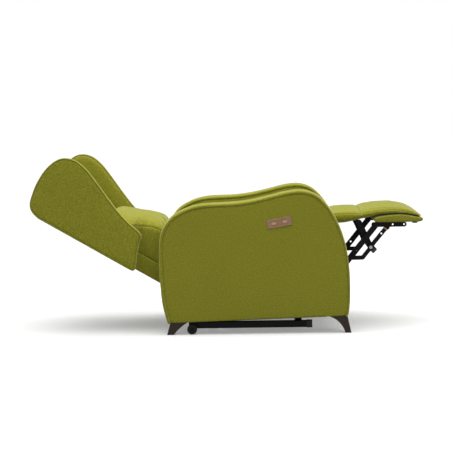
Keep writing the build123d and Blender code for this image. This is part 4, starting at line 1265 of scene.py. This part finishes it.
def buildFloor():
    mesh = bpy.data.meshes.new("studioFloor")
    reach = studio["floorReach"]
    corners = [(-reach, -reach, 0), (reach, -reach, 0), (reach, reach, 0), (-reach, reach, 0)]
    mesh.from_pydata(corners, [], [(0, 1, 2, 3)])
    floor = bpy.data.objects.new("studioFloor", mesh)
    bpy.context.scene.collection.objects.link(floor)
    material = bpy.data.materials.new("mattWhiteFloor")
    material.use_nodes = True
    tree = material.node_tree
    tree.nodes.clear()
    # looks white, and throws less light back up than a white floor would
    seen = addNode(tree, "ShaderNodeLightPath")
    mirror = largerOf(tree, seen.outputs["Is Camera Ray"], seen.outputs["Is Glossy Ray"])
    tone = mixColour(tree, mirror, linearColour(studio["floorBounce"]), linearColour(studio["floorSeen"]))
    paint = addNode(tree, "ShaderNodeBsdfDiffuse", links={"Color": tone})
    lift = addNode(tree, "ShaderNodeMath", {"operation": "MULTIPLY"})
    tree.links.new(lift.inputs[0], mirror)
    lift.inputs[1].default_value = studio["floorGlow"]
    glow = addNode(tree, "ShaderNodeEmission", {"Color": (1, 1, 1, 1)}, {"Strength": lift.outputs[0]})
    both = addNode(tree, "ShaderNodeAddShader")
    tree.links.new(both.inputs[0], paint.outputs[0])
    tree.links.new(both.inputs[1], glow.outputs[0])
    output = addNode(tree, "ShaderNodeOutputMaterial")
    tree.links.new(output.inputs["Surface"], both.outputs[0])
    mesh.materials.append(material)


view = {
    "place": (-6.98, -0.1602, 0.975),
    "focalPx": 1500.0,
    "imagePx": 452.0,
    "aimPx": (262.0, 114.0),
    "rollDegrees": -0.85,
    "sensorMm": 36.0,
}


def buildCamera():
    lens = bpy.data.cameras.new("camera")
    lens.sensor_width = view["sensorMm"]
    lens.lens = view["sensorMm"] * view["focalPx"] / view["imagePx"]
    lens.clip_end = 200
    camera = bpy.data.objects.new("camera", lens)
    bpy.context.scene.collection.objects.link(camera)
    half = view["imagePx"] / 2
    # the chair's own X axis, seen from the camera, points at the pixel that the camera faces squarely
    towards = Vector(
        ((view["aimPx"][0] - half) / view["focalPx"], -(view["aimPx"][1] - half) / view["focalPx"], 1.0)
    ).normalized()
    roll = math.radians(view["rollDegrees"])
    upward = Vector((math.sin(roll), math.cos(roll), 0.0))
    rise = (upward - towards * upward.dot(towards)).normalized()
    across = rise.cross(towards)
    if across.x > 0:
        across = -across
    right = Vector((towards.x, across.x, rise.x))
    up = Vector((towards.y, across.y, rise.y))
    forward = Vector((towards.z, across.z, rise.z))
    camera.rotation_mode = "QUATERNION"
    turned = right.normalized(), up.normalized(), -forward.normalized()
    rows = [[turned[c][r] for c in range(3)] for r in range(3)]
    camera.matrix_world = Matrix(rows).to_4x4()
    camera.location = view["place"]
    bpy.context.scene.camera = camera


buildStudio()
softSun("keyFromAbove", studio["keyStrength"], studio["keyDirection"], studio["keySpreadDegrees"])
softBox("boxFromAbove", studio["boxPower"], studio["boxPlace"], studio["boxSize"])
softSun("fillFromCamera", studio["fillStrength"], studio["fillDirection"], studio["fillSpreadDegrees"])
buildFloor()
buildCamera()
bpy.context.scene.view_settings.view_transform = "Standard"
print("studio and camera set")
